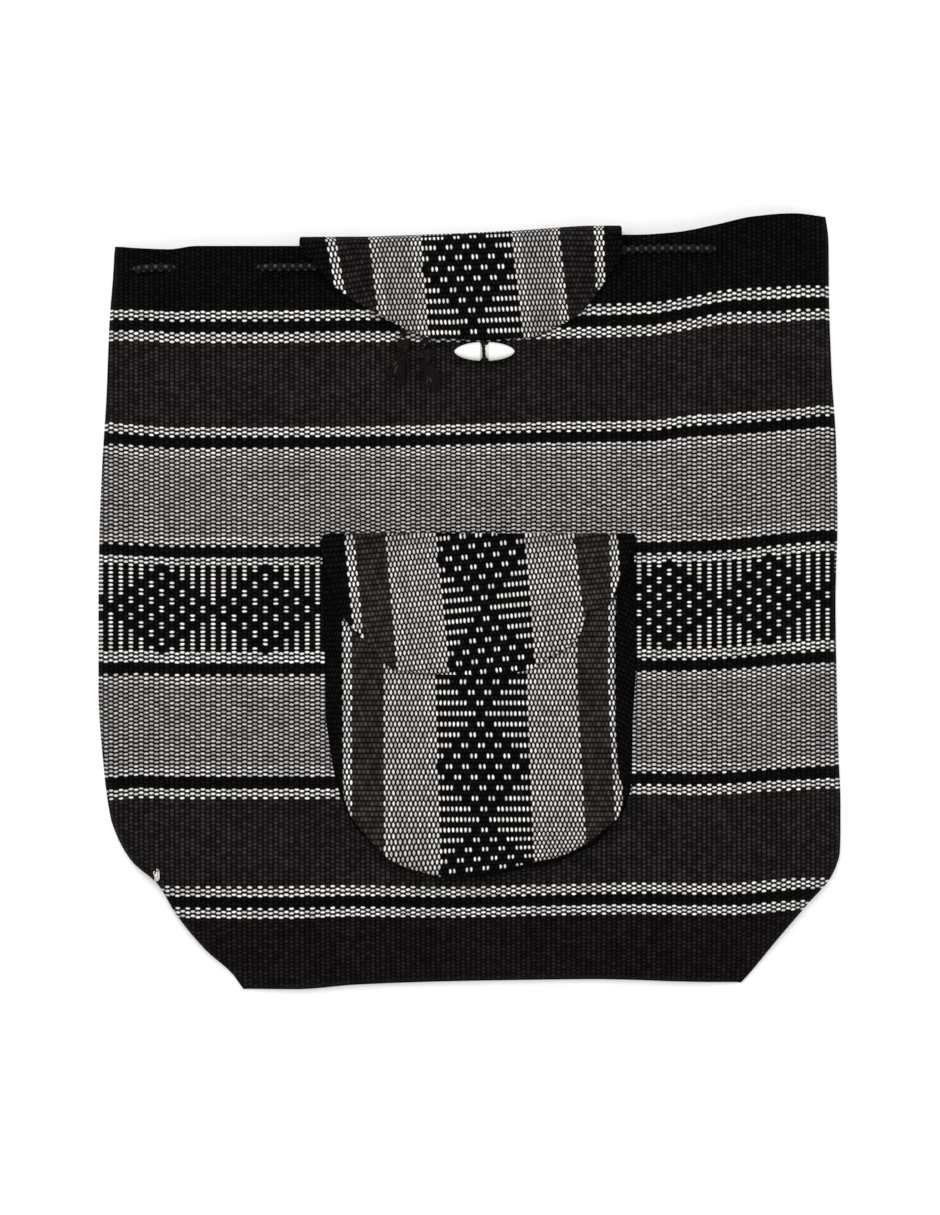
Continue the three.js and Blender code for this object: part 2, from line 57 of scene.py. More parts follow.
class EndRow(NamedTuple):
    """How far the mouth and the bottom lie in from the box round the bag, as shares of its height."""

    across: float
    mouth: float
    bottom: float


class SideRow(NamedTuple):
    """How far the two sides of a piece lie in, as shares of its width."""

    up: float
    left: float
    right: float


class PocketRow(NamedTuple):
    """The sides of the pocket's front and of its gusset's foot, as shares of the pocket's width."""

    up: float
    left: float
    right: float
    foot_left: float
    foot_right: float


class DentRow(NamedTuple):
    """A soft dent of the front: place and reach as shares of the bag, depth as a share of its rise."""

    across: float
    up: float
    wide: float
    tall: float
    depth: float


class WeftRow(NamedTuple):
    """How far below the top of the bag's box five weft lines run, as shares of its height."""

    across: float
    second_white: float
    dark_end: float
    diamonds: float
    lower_white: float
    last_dark_end: float


class PickRow(NamedTuple):
    """How far below the top of the bag's box a pick runs, as a share of its height, where the lines rest."""

    pick: float
    down: float


class StripeRow(NamedTuple):
    """Where a stripe's edge lies on turned cloth, at its top and at its hem, in millimetres."""

    pick: float
    top: float
    hem: float


ENDS = [
    EndRow(0.02, 0.042, 0.001),
    EndRow(0.064, 0.0453, 0.001),
    EndRow(0.098, 0.0467, 0.001),
    EndRow(0.134, 0.0425, 0.001),
    EndRow(0.266, 0.0425, 0),
    EndRow(0.347, 0.042, 0.006),
    EndRow(0.454, 0.039, 0.01),
    EndRow(0.562, 0.034, 0.012),
    EndRow(0.669, 0.028, 0.013),
    EndRow(0.723, 0.028, 0.012),
    EndRow(0.777, 0.0248, 0.01),
    EndRow(0.831, 0.015, 0.009),
    EndRow(0.884, 0.004, 0.009),
    EndRow(0.938, 0, 0.009),
    EndRow(0.982, 0.004, 0.009),
]
SIDES = [
    SideRow(0, 0.196, 0.133),
    SideRow(0.018, 0.1835, 0.117),
    SideRow(0.05, 0.1475, 0.09),
    SideRow(0.1, 0.107, 0.046),
    SideRow(0.14, 0.083, 0.012),
    SideRow(0.17, 0.048, 0.002),
    SideRow(0.2, 0.0296, 0.0013),
    SideRow(0.23, 0.0188, 0.0013),
    SideRow(0.3, 0.0094, 0.004),
    SideRow(0.4, 0.0027, 0.0067),
    SideRow(0.5, 0.0027, 0.008),
    SideRow(0.6, 0.0035, 0.0054),
    SideRow(0.7, 0.0074, 0.0071),
    SideRow(0.8, 0.0134, 0.0134),
    SideRow(0.9, 0.0175, 0.0168),
    SideRow(0.97, 0.0228, 0.0175),
    SideRow(1, 0.0242, 0.021),
]
DENTS = [
    DentRow(0.13, 0.42, 0.05, 0.16, 0.09),
    DentRow(0.9, 0.62, 0.05, 0.2, 0.1),
    DentRow(0.87, 0.2, 0.06, 0.1, 0.07),
    DentRow(0.2, 0.85, 0.1, 0.05, 0.06),
]
FLAP_SIDES = [
    SideRow(0, 0.41, 0.29),
    SideRow(0.04, 0.372, 0.256),
    SideRow(0.1, 0.328, 0.213),
    SideRow(0.2, 0.276, 0.15),
    SideRow(0.3, 0.225, 0.112),
    SideRow(0.4, 0.171, 0.086),
    SideRow(0.5, 0.131, 0.063),
    SideRow(0.6, 0.095, 0.042),
    SideRow(0.7, 0.069, 0.018),
    SideRow(0.8, 0.047, 0),
    SideRow(0.9, 0.018, 0),
    SideRow(1, 0, 0),
]
POCKET_SIDES = [
    PocketRow(0, 0.384, 0.533, 0.39, 0.514),
    PocketRow(0.008, 0.349, 0.505, 0.35, 0.454),
    PocketRow(0.03, 0.265, 0.4, 0.262, 0.324),
    PocketRow(0.045, 0.229, 0.324, 0.225, 0.25),
    PocketRow(0.062, 0.198, 0.244, 0.194, 0.206),
    PocketRow(0.096, 0.162, 0.168, 0.158, 0.13),
    PocketRow(0.14, 0.121, 0.102, 0.11, 0.09),
    PocketRow(0.19, 0.085, 0.052, 0.079, 0.044),
    PocketRow(0.25, 0.068, 0.045, 0.054, 0.021),
    PocketRow(0.32, 0.066, 0.06, 0.035, 0.017),
    PocketRow(0.46, 0.064, 0.068, 0.0125, 0.014),
    PocketRow(0.66, 0.063, 0.069, 0.009, 0),
    PocketRow(1, 0.063, 0.063, 0, 0.01),
]
POCKET_FLAP_SIDES = [
    SideRow(0, 0.38, 0.4167),
    SideRow(0.04, 0.232, 0.3335),
    SideRow(0.11, 0.195, 0.285),
    SideRow(0.2, 0.158, 0.2175),
    SideRow(0.3, 0.1166, 0.1785),
    SideRow(0.42, 0.0694, 0.163),
    SideRow(0.46, 0.061, 0.145),
    SideRow(0.5, 0.055, 0.089),
    SideRow(0.55, 0.0465, 0.071),
    SideRow(0.7, 0.027, 0.0465),
    SideRow(0.85, 0.008, 0.018),
    SideRow(0.95, 0, 0),
    SideRow(1, 0.01, 0.005),
]

# The left strap's middle line, which the right one mirrors, as shares of the bag's box from its middle
STRAP_LINE = [
    (-0.1, 0.385), (-0.13, 0.31), (-0.23, 0.18), (-0.31, 0.04), (-0.335, -0.12), (-0.335, -0.26),
    (-0.315, -0.33),
]

# The drawstring's route round the mouth and its two free ends, in millimetres, as the model has them
DRAWSTRING_ROUTE = [
    (-34, 176, "over"), (-34, 181, "over"), (-37, 189, "under"), (-48, 189, "under"),
    (-62, 187, "under"), (-71, 185, "under"), (-80, 184, "over"), (-94, 183.5, "over"),
    (-110, 183.4, "over"), (-119, 183.3, "under"), (-139, 183.3, "under"), (-158, 183.3, "under"),
    (-167.5, 183.2, "over"), (-178, 183, "over"), (-187, 181, "between"), (-190, 175, "between"),
    (-185, 169.5, "back"), (-165, 168.5, "back"), (-120, 168.5, "back"), (-60, 170, "back"),
    (0, 172.5, "back"), (60, 175.5, "back"), (120, 178, "back"), (165, 179, "back"), (181, 181, "back"),
    (187, 187, "between"), (182, 192.5, "under"), (172, 193.5, "under"), (155, 193.6, "under"),
    (138.3, 193.6, "under"), (129, 193.6, "over"), (100, 193.5, "over"), (79, 192.5, "over"),
    (69, 192, "under"), (50, 191.5, "under"), (20, 190.5, "under"), (-8, 190, "under"),
    (-19, 189, "under"), (-24.5, 181, "over"), (-24.5, 176, "over"),
]
TAIL_ROUTES = {
    "left": [(-34, 175.7), (-34.3, 171), (-34.8, 165), (-35.3, 159), (-35.7, 153), (-35.9, 145.3)],
    "right": [(-24.5, 175.7), (-24.2, 168), (-24, 160), (-23.9, 152), (-23.8, 146), (-23.7, 139.8)],
}

# Each knot's place, and how far its fringe leans and falls
KNOTS = {"left": (-36, 140.5, (-4.5, -21.5)), "right": (-23.7, 135, (5, -20.5))}


class Curve:
    """A smooth line through a table's rows that never swings past them."""

    def __init__(self, rows: Sequence[Any], along: str, value: str) -> None:
        """Reads two named columns of a table.

        Args:
            rows: the table.
            along: the column that the line runs along.
            value: the column that it gives.
        """
        self.x = np.array([getattr(row, along) for row in rows], float)
        self.y = np.array([getattr(row, value) for row in rows], float)
        slope = np.diff(self.y) / np.diff(self.x)
        before, after = slope[:-1], slope[1:]
        same = before * after > 0
        total = np.where(same, before + after, 1.0)
        self.tangent = np.concatenate([slope[:1], np.where(same, 2 * before * after / total, 0), slope[-1:]])

    def __call__(self, at: Array) -> Array:
        """Gives the line's values.

        Args:
            at: places along the line.

        Returns:
            One value for each place, held at the ends.
        """
        at = np.clip(np.asarray(at, float), self.x[0], self.x[-1])
        i = np.clip(np.searchsorted(self.x, at, side="right") - 1, 0, len(self.x) - 2)
        step = self.x[i + 1] - self.x[i]
        t = (at - self.x[i]) / step
        rise = t * t * (3 - 2 * t)
        leave = t * (1 - t) ** 2 * self.tangent[i] * step
        arrive = t * t * (t - 1) * self.tangent[i + 1] * step
        return self.y[i] * (1 - rise) + self.y[i + 1] * rise + leave + arrive


def side_curves(rows: Sequence[Any]) -> tuple[Curve, Curve]:
    """Gives the lines of a piece's left and right side from its table."""
    return Curve(rows, "up", "left"), Curve(rows, "up", "right")


def lerp(a: Any, b: Any, t: Any) -> Any:
    """Gives the value that lies a share t of the way from a to b."""
    return a + (b - a) * t


def smooth(value: Array, low: float, high: float) -> Array:
    """Rises smoothly from 0 at low to 1 at high."""
    t = np.clip((np.asarray(value, float) - low) / (high - low), 0, 1)
    return t * t * (3 - 2 * t)


def rounded(distance: Array, reach: float) -> Array:
    """Gives the rise of cloth that turns up over a rounded edge, from 0 on the edge to 1."""
    return np.sqrt(1 - (1 - np.clip(distance / reach, 0, 1)) ** 2)


def close_at_ends(t: Array, pull: float) -> Array:
    """Spreads steps so that they are close at both ends."""
    return t - pull * np.sin(2 * np.pi * t) / (2 * np.pi)


def spline(points: Array, count: int) -> Array:
    """Runs an even row of points along a smooth centripetal line.

    Args:
        points: the points that it passes through.
        count: how many points to give.

    Returns:
        The points, at equal steps along the line.
    """
    p = np.asarray(points, float)
    p = np.vstack([2 * p[0] - p[1], p, 2 * p[-1] - p[-2]])
    fine = []
    t = np.linspace(0, 1, 60, endpoint=False)[:, None]
    for i in range(1, len(p) - 2):
        d0, d1, d2 = (max(np.linalg.norm(p[k + 1] - p[k]), 1e-6) ** 0.5 for k in (i - 1, i, i + 1))
        leave = ((p[i] - p[i - 1]) / d0 - (p[i + 1] - p[i - 1]) / (d0 + d1) + (p[i + 1] - p[i]) / d1) * d1
        arrive = ((p[i + 1] - p[i]) / d1 - (p[i + 2] - p[i]) / (d1 + d2) + (p[i + 2] - p[i + 1]) / d2) * d1
        c2 = -3 * p[i] + 3 * p[i + 1] - 2 * leave - arrive
        c3 = 2 * p[i] - 2 * p[i + 1] + leave + arrive
        fine.append(p[i] + leave * t + c2 * t**2 + c3 * t**3)
    fine = np.vstack([*fine, p[-2:-1]])
    length = np.concatenate([[0], np.cumsum(np.linalg.norm(np.diff(fine, axis=0), axis=1))])
    at = np.linspace(0, length[-1], count)
    return np.stack([np.interp(at, length, fine[:, k]) for k in range(3)], axis=1)


@dataclass(frozen=True)
class Under:
    """Something that lies under cloth: its place, reach and height, in millimetres."""

    x: float
    y: float
    reach: float
    height: float


def drape(things: Sequence[Under], spread: float, ease: float, x: Array, y: Array) -> Array:
    """Gives the height that cloth takes over things that lie under it.

    Args:
        things: what lies under the cloth.
        spread: how far from a thing the cloth is still at its full height.
        ease: the further way in which it comes down.
        x: places across.
        y: places up.

    Returns:
        The height at each place.
    """
    height = np.zeros(np.broadcast(x, y).shape)
    for thing in things:
        distance = np.hypot(x - thing.x, y - thing.y) - thing.reach
        height = np.maximum(height, thing.height * (1 - smooth(distance, spread, spread + ease)))
    return height


@dataclass
class BagShape:
    """The bag's form, in millimetres: the same sizes and rules as the model's."""

    width: float = 409
    height: float = 426
    rise: float = 17
    turn: float = 45
    cloth: float = 2
    gap: float = 0.3
    strap_width: float = 38
    strap_thickness: float = 2.4
    strap_spread: float = 26
    strap_ease: float = 16
    flap_left: float = -92.1
    flap_width: float = 175
    flap_root: float = 18
    flap_drop: float = 53
    hang: float = 0.5
    cord_radius: float = 2.25
    cord_gap: float = 0.6

    def __post_init__(self) -> None:
        """Reads the tables and lists what lies under the back."""
        self.mouth_edge = Curve(ENDS, "across", "mouth")
        self.bottom_edge = Curve(ENDS, "across", "bottom")
        self.left_edge, self.right_edge = side_curves(SIDES)
        self.under_back = [
            Under(p[0], p[1], self.strap_width / 2, self.strap_thickness + self.gap)
            for side in (-1, 1)
            for p in self.strap_line(side, 31)
        ]
        for i in range(13):
            x = self.flap_left + self.flap_width * i / 12
            self.under_back.append(Under(x, float(self.mouth_y(x)), self.flap_root, self.cloth + self.gap))

    def strap_line(self, side: int, count: int) -> Array:
        """Gives the middle line of a strap.

        Args:
            side: -1 for the left strap and 1 for the right one.
            count: how many points to give.

        Returns:
            The points, on the surface.
        """
        points = [(-side * across * self.width, up * self.height, 0) for across, up in STRAP_LINE]
        return spline(points, count)

    def mouth_y(self, x: Array) -> Array:
        """Gives the height of the mouth's edge across the bag."""
        return self.height * (0.5 - self.mouth_edge(np.asarray(x) / self.width + 0.5))

    def flap_hem(self) -> float:
        """Gives the height of the main flap's hem."""
        return float(self.mouth_y(0)) - self.flap_drop

    def bottom_y(self, x: Array) -> Array:
        """Gives the height of the bottom fold across the bag."""
        return self.height * (self.bottom_edge(np.asarray(x) / self.width + 0.5) - 0.5)

    def plan(self, u: Array, v: Array, inset: float) -> tuple[Array, Array, Array, Array]:
        """Places shares across and up on the bag's outline.

        Args:
            u: shares across.
            v: shares up.
            inset: how far the closed sides are drawn in.

        Returns:
            The places across and up, and the distances from the nearer side and from the bottom.
        """
        left = (self.left_edge(v) - 0.5) * self.width + inset
        right = (0.5 - self.right_edge(v)) * self.width - inset
        x = lerp(left, right, u)
        bottom = self.bottom_y(x) + inset
        y = lerp(bottom, self.mouth_y(x), v)
        return x, y, np.minimum(u, 1 - u) * (right - left), y - bottom

    def back_lift(self, x: Array, y: Array) -> Array:
        """Gives how far the back is lifted off the surface by the straps and the flap's root."""
        return drape(self.under_back, self.strap_spread, self.strap_ease, x, y)

    def dent(self, x: Array, y: Array) -> Array:
        """Gives the depth of the front's soft dents."""
        depth = np.zeros(np.broadcast(x, y).shape)
        for row in DENTS:
            across = (x / self.width + 0.5 - row.across) / row.wide
            up = (y / self.height + 0.5 - row.up) / row.tall
            depth += row.depth * self.rise * np.exp(-across * across - up * up)
        return depth

    def front_height(self, x: Array, y: Array, side: Array, foot: Array, inset: float) -> Array:
        """Gives the height of the front panel from its distances from the sides and the bottom."""
        seam = self.back_lift(x, y) + self.cloth + self.gap
        reach = self.turn - inset
        top = self.rise + self.cloth + self.gap - inset - self.dent(x, y)
        return lerp(seam, top, rounded(side, reach) * rounded(foot, reach))

    def front_at(self, x: Array, y: Array, depth: float = 0) -> Array:
        """Gives the height of the front's outer face, or of its inner face with a depth of one cloth."""
        bottom, mouth = self.bottom_y(x), self.mouth_y(x)
        v = (y - bottom) / (mouth - bottom)
        left = (self.left_edge(v) - 0.5) * self.width
        right = (0.5 - self.right_edge(v)) * self.width
        side = np.minimum(x - left, right - x)
        return self.front_height(x, y, side - depth, y - bottom - depth, depth)

    def cord_height(self, x: float, y: float, layer: str) -> float:
        """Gives the height of a cord's middle.

        Args:
            x: its place across.
            y: its place up.
            layer: over or under the front, along the back, or between the two.

        Returns:
            The height.
        """
        inside = float(self.front_at(x, y, self.cloth)) - self.cord_gap - self.cord_radius
        on_back = float(self.back_lift(x, y)) + self.cloth + self.cord_gap + self.cord_radius
        over = float(self.front_at(x, y)) + self.cord_gap + self.cord_radius
        return {"over": over, "under": inside, "back": on_back, "between": (inside + on_back) / 2}[layer]


class Graph:
    """Adds nodes to a tree and wires them."""

    def __init__(self, tree: bpy.types.NodeTree) -> None:
        """Keeps the tree."""
        self.tree = tree

    def add(self, kind: str, **settings: Any) -> bpy.types.Node:
        """Adds a node and sets its properties."""
        node = self.tree.nodes.new(kind)
        for name, value in settings.items():
            setattr(node, name, value)
        return node

    def feed(self, socket: bpy.types.NodeSocket, value: Any) -> None:
        """Wires a socket to an output, or sets it to a value."""
        if isinstance(value, bpy.types.NodeSocket):
            self.tree.links.new(value, socket)
        else:
            socket.default_value = value

    def math(self, operation: str, *terms: Any) -> bpy.types.NodeSocket:
        """Adds a math node.

        Args:
            operation: its operation.
            terms: its inputs, each an output of another node or a number.

        Returns:
            Its output.
        """
        node = self.add("ShaderNodeMath", operation=operation)
        for socket, term in zip(node.inputs, terms):
            self.feed(socket, term)
        return node.outputs[0]

    def vector(self, x: Any, y: Any, z: Any = 0.0) -> bpy.types.NodeSocket:
        """Joins three values into a vector."""
        node = self.add("ShaderNodeCombineXYZ")
        for socket, term in zip(node.inputs, (x, y, z)):
            self.feed(socket, term)
        return node.outputs[0]

    def parts(self, vector: bpy.types.NodeSocket) -> tuple[bpy.types.NodeSocket, ...]:
        """Splits a vector into its three values."""
        node = self.add("ShaderNodeSeparateXYZ")
        self.feed(node.inputs[0], vector)
        return tuple(node.outputs)

    def mix(self, factor: Any, a: Any, b: Any, blend: str = "MIX") -> bpy.types.NodeSocket:
        """Mixes two colours."""
        node = self.add("ShaderNodeMix", data_type="RGBA", blend_type=blend)
        for socket, term in zip((node.inputs[0], node.inputs[6], node.inputs[7]), (factor, a, b)):
            self.feed(socket, term)
        return node.outputs[2]

    def rise(
        self, value: Any, low: float, high: float, start: float = 0.0, end: float = 1.0
    ) -> bpy.types.NodeSocket:
        """Maps a value smoothly from one range to another, held at both ends."""
        node = self.add("ShaderNodeMapRange", interpolation_type="SMOOTHSTEP")
        for socket, term in zip(node.inputs, (value, low, high, start, end)):
            self.feed(socket, term)
        return node.outputs[0]

    def noise(self, vector: Any, scale: float, detail: float = 2.0) -> bpy.types.NodeSocket:
        """Adds a noise and gives its value."""
        node = self.add("ShaderNodeTexNoise")
        self.feed(node.inputs["Vector"], vector)
        node.inputs["Scale"].default_value = scale
        node.inputs["Detail"].default_value = detail
        return node.outputs[0]


def new_group(
    name: str, inputs: Sequence[tuple[str, str]], outputs: Sequence[tuple[str, str]]
) -> tuple[Any, Any, Any]:
    """Makes a shader node group with named sockets.

    Args:
        name: the group's name.
        inputs: the name and kind of each input.
        outputs: the name and kind of each output.

    Returns:
        Its graph, its input node and its output node.
    """
    tree = bpy.data.node_groups.new(name, "ShaderNodeTree")
    for way, sockets in (("INPUT", inputs), ("OUTPUT", outputs)):
        for label, kind in sockets:
            tree.interface.new_socket(label, in_out=way, socket_type=kind)
    graph = Graph(tree)
    return graph, graph.add("NodeGroupInput"), graph.add("NodeGroupOutput")


FLOAT, VECTOR = "NodeSocketFloat", "NodeSocketVector"


class Band(Enum):
    """The kinds of band that the cloth is woven in."""

    BLACK = "black"
    FADED = "faded"
    DARK = "dark"
    LIGHT = "light"
    EDGE = "edge"
    WHITE = "white"
    DIAMONDS = "diamonds"


@dataclass(frozen=True)
class YarnColours:
    """The colour of the yarn in each kind of band, as linear red, green and blue."""

    black: tuple[float, float, float] = (0.0064, 0.0049, 0.0052)
    faded: tuple[float, float, float] = (0.0143, 0.0106, 0.0113)
    dark: tuple[float, float, float] = (0.026, 0.0222, 0.0212)
    light: tuple[float, float, float] = (0.5, 0.475, 0.46)
    edge: tuple[float, float, float] = (0.74, 0.71, 0.685)
    white: tuple[float, float, float] = (0.86, 0.835, 0.8)
    diamonds: tuple[float, float, float] = (0.9, 0.875, 0.84)


BODY_BANDS = [
    (Band.BLACK, 32), (Band.WHITE, 5), (Band.BLACK, 5), (Band.WHITE, 5), (Band.DARK, 41), (Band.WHITE, 5),
    (Band.BLACK, 5), (Band.EDGE, 5), (Band.LIGHT, 39), (Band.EDGE, 5), (Band.BLACK, 5), (Band.WHITE, 4),
    (Band.DIAMONDS, 43), (Band.WHITE, 5), (Band.BLACK, 5), (Band.EDGE, 5), (Band.LIGHT, 39), (Band.EDGE, 5),
    (Band.BLACK, 6), (Band.WHITE, 5), (Band.DARK, 42), (Band.WHITE, 5), (Band.BLACK, 5), (Band.WHITE, 5),
    (Band.FADED, 34),
]
TURNED_BANDS = [
    (Band.BLACK, 11), (Band.WHITE, 5), (Band.DARK, 15), (Band.EDGE, 5), (Band.LIGHT, 15), (Band.EDGE, 5),
    (Band.DIAMONDS, 44), (Band.EDGE, 5), (Band.LIGHT, 15), (Band.EDGE, 5), (Band.DARK, 15), (Band.WHITE, 5),
    (Band.BLACK, 15),
]


class Weaves:
    """The shader groups of the woven cloth."""

    def __init__(self) -> None:
        """Builds the two groups."""
        self.beads = self.bead_group()
        self.chart = self.chart_group()

    @staticmethod
    def bead_group() -> bpy.types.NodeTree:
        """Builds the float of yarn that shows on each rib at every other pick.

        Returns:
            The group: from weave coordinates, in picks and ribs, and the unevenness of the picks, to the
            float's pick and rib, its height, and the colour factor of a pale float and of a dark one: random
            tone times painted shade in the valleys between floats and between ribs.
        """
        inputs = [("Weave", VECTOR), ("Uneven", FLOAT)]
        outputs = [("Pick", FLOAT), ("Rib", FLOAT), ("Height", FLOAT), ("Pale tone and painted shade", FLOAT), ("Dark tone and painted shade", FLOAT)]
        g, source, sink = new_group("woven floats", inputs, outputs)
        pick, rib, _ = g.parts(source.outputs["Weave"])
        wander = g.noise(g.vector(g.math("MULTIPLY", pick, 0.21), g.math("MULTIPLY", rib, 0.55)), 1.0)
        pick = g.math("ADD", pick, g.math("MULTIPLY", g.math("SUBTRACT", wander, 0.5), 0.8))
        column = g.math("FLOOR", rib)
        odd = g.math("FLOORED_MODULO", column, 2.0)
        far = g.vector(g.math("MULTIPLY", pick, 0.024), g.math("MULTIPLY", rib, 0.01), 4.3)
        drift = g.noise(far, 1.0, 1.0)
        drift = g.math("MULTIPLY", g.rise(drift, 0.42, 0.58, -1.0, 1.0), source.outputs["Uneven"])
        pair = g.math("SUBTRACT", pick, g.math("MULTIPLY", odd, g.math("ADD", drift, 1.0)))
        pair = g.math("MULTIPLY", pair, 0.5)
        shown = g.math("ADD", g.math("MULTIPLY", g.math("FLOOR", pair), 2.0), odd)
        across = g.math("ABSOLUTE", g.math("SUBTRACT", g.math("MULTIPLY", g.math("FRACT", rib), 2.0), 1.0))
        along = g.math("ABSOLUTE", g.math("SUBTRACT", g.math("MULTIPLY", g.math("FRACT", pair), 2.0), 1.0))
        side = g.math("MULTIPLY", g.math("POWER", across, 2.4), 0.5)
        end = g.math("POWER", g.math("MULTIPLY", along, 1.06), 1.6)
        # The float's dome: the bump's height, and also the painted shade in the valleys round each float
        body = g.rise(g.math("SUBTRACT", g.math("SUBTRACT", 1.0, side), end), 0.34, 0.98)
        # Painted shade: darker towards the valleys between ribs
        rib_valley_shade = g.math("SUBTRACT", 1.0, g.math("MULTIPLY", g.math("POWER", across, 2.4), 0.92))
        random = g.add("ShaderNodeTexWhiteNoise", noise_dimensions="2D")
        g.feed(random.inputs["Vector"], g.vector(shown, column))
        fibre = g.noise(g.vector(g.math("MULTIPLY", pick, 3.4), g.math("MULTIPLY", rib, 1.3)), 1.6, 3.0)
        worn = g.noise(g.vector(g.math("MULTIPLY", pick, 0.05), g.math("MULTIPLY", rib, 0.09)), 1.0, 3.0)
        light = g.math("ADD", 0.64, g.math("MULTIPLY", random.outputs["Value"], 0.46))
        light = g.math("MULTIPLY", light, g.math("ADD", 0.72, g.math("MULTIPLY", fibre, 0.56)))
        light = g.math("MULTIPLY", light, g.math("ADD", 0.8, g.math("MULTIPLY", worn, 0.4)))
        g.feed(sink.inputs["Pick"], shown)
        g.feed(sink.inputs["Rib"], column)
        g.feed(sink.inputs["Height"], g.math("ADD", body, g.math("MULTIPLY", fibre, 0.16)))
        # Painted shade of a pale float: its colour falls almost to black in the valleys between floats
        floats = g.math("ADD", 0.006, g.math("MULTIPLY", body, 0.994))
        g.feed(sink.inputs["Pale tone and painted shade"], g.math("MULTIPLY", light, floats))
        # Painted shade of a dark float: darker in the valleys between ribs and, less, between floats
        ribs = g.math("MULTIPLY", rib_valley_shade, g.math("ADD", 0.36, g.math("MULTIPLY", body, 0.84)))
        g.feed(sink.inputs["Dark tone and painted shade"], g.math("MULTIPLY", g.math("POWER", light, 1.8), ribs))
        return g.tree

    @staticmethod
    def chart_group() -> bpy.types.NodeTree:
        """Builds the diamond chart.

        Returns:
            The group: from a float's pick and rib and the band's first pick, to 1 where the float is white
            and 0 where it is black. Two diamonds meet on every twentieth rib.
        """
        inputs = [("Pick", FLOAT), ("Rib", FLOAT), ("First pick", FLOAT)]
        g, source, sink = new_group("diamond chart", inputs, [("White", FLOAT)])
        pick, rib, first = (source.outputs[label] for label, _ in inputs)
        step = g.math("FLOOR", g.math("MULTIPLY", g.math("ADD", g.math("SUBTRACT", pick, first), 0.5), 0.25))
        step = g.math("ABSOLUTE", g.math("SUBTRACT", step, 5.0))
        turned = g.math("FLOORED_MODULO", g.math("ADD", g.math("MULTIPLY", rib, 0.5), 5.0), 10.0)
        away = g.math("ABSOLUTE", g.math("SUBTRACT", turned, 5.0))
        odd = g.math("FLOORED_MODULO", g.math("ADD", away, step), 2.0)
        outside = g.math("GREATER_THAN", step, g.math("ADD", away, 0.5))
        listed = g.math("MAXIMUM", g.math("GREATER_THAN", odd, 0.5), outside)
        laid = g.math("LESS_THAN", g.math("FLOORED_MODULO", rib, 2.0), 0.5)
        g.feed(sink.inputs["White"], g.math("MULTIPLY", listed, laid))
        return g.tree


@dataclass(frozen=True)
class ClothFinish:
    """A cloth that is woven in bands."""

    name: str
    bands: Sequence[tuple[Band, int]]
    uneven: float = 0
    yarn: YarnColours = YarnColours()

    def material(self, weaves: Weaves) -> bpy.types.Material:
        """Builds the cloth's material.

        Args:
            weaves: the shader groups.

        Returns:
            The material.
        """
        made = bpy.data.materials.new(self.name)
        made.use_nodes = True
        g = Graph(made.node_tree)
        shader = made.node_tree.nodes["Principled BSDF"]
        place = g.add("ShaderNodeUVMap", uv_map="weave")
        beads = g.add("ShaderNodeGroup", node_tree=weaves.beads)
        g.feed(beads.inputs["Weave"], place.outputs[0])
        beads.inputs["Uneven"].default_value = self.uneven
        colour: Any = (*self.yarn.black, 1)
        first = 0
        for band, picks in self.bands:
            yarn: Any = (*getattr(self.yarn, band.value), 1)
            if band is Band.DIAMONDS:
                chart = g.add("ShaderNodeGroup", node_tree=weaves.chart)
                g.feed(chart.inputs["Pick"], beads.outputs["Pick"])
                g.feed(chart.inputs["Rib"], beads.outputs["Rib"])
                chart.inputs["First pick"].default_value = first
                yarn = g.mix(chart.outputs["White"], (*self.yarn.black, 1), yarn)
            colour = g.mix(g.math("GREATER_THAN", beads.outputs["Pick"], first - 0.5), colour, yarn)
            first += picks
        grey = g.add("ShaderNodeRGBToBW")
        g.feed(grey.inputs[0], colour)
        # Painted shade: the yarn's colour times its random tone and the painted valley shade, of ribs for
        # dark yarn and of floats for pale yarn
        shade = g.mix(g.rise(grey.outputs[0], 0.03, 0.3), beads.outputs["Dark tone and painted shade"], beads.outputs["Pale tone and painted shade"])
        g.feed(shader.inputs["Base Color"], g.mix(1.0, colour, shade, "MULTIPLY"))
        bump = g.add("ShaderNodeBump")
        bump.inputs["Strength"].default_value = 0.5
        bump.inputs["Distance"].default_value = 0.0006
        g.feed(bump.inputs["Height"], beads.outputs["Height"])
        g.feed(shader.inputs["Normal"], bump.outputs[0])
        shader.inputs["Roughness"].default_value = 0.9
        shader.inputs["Specular IOR Level"].default_value = 0.03
        return made


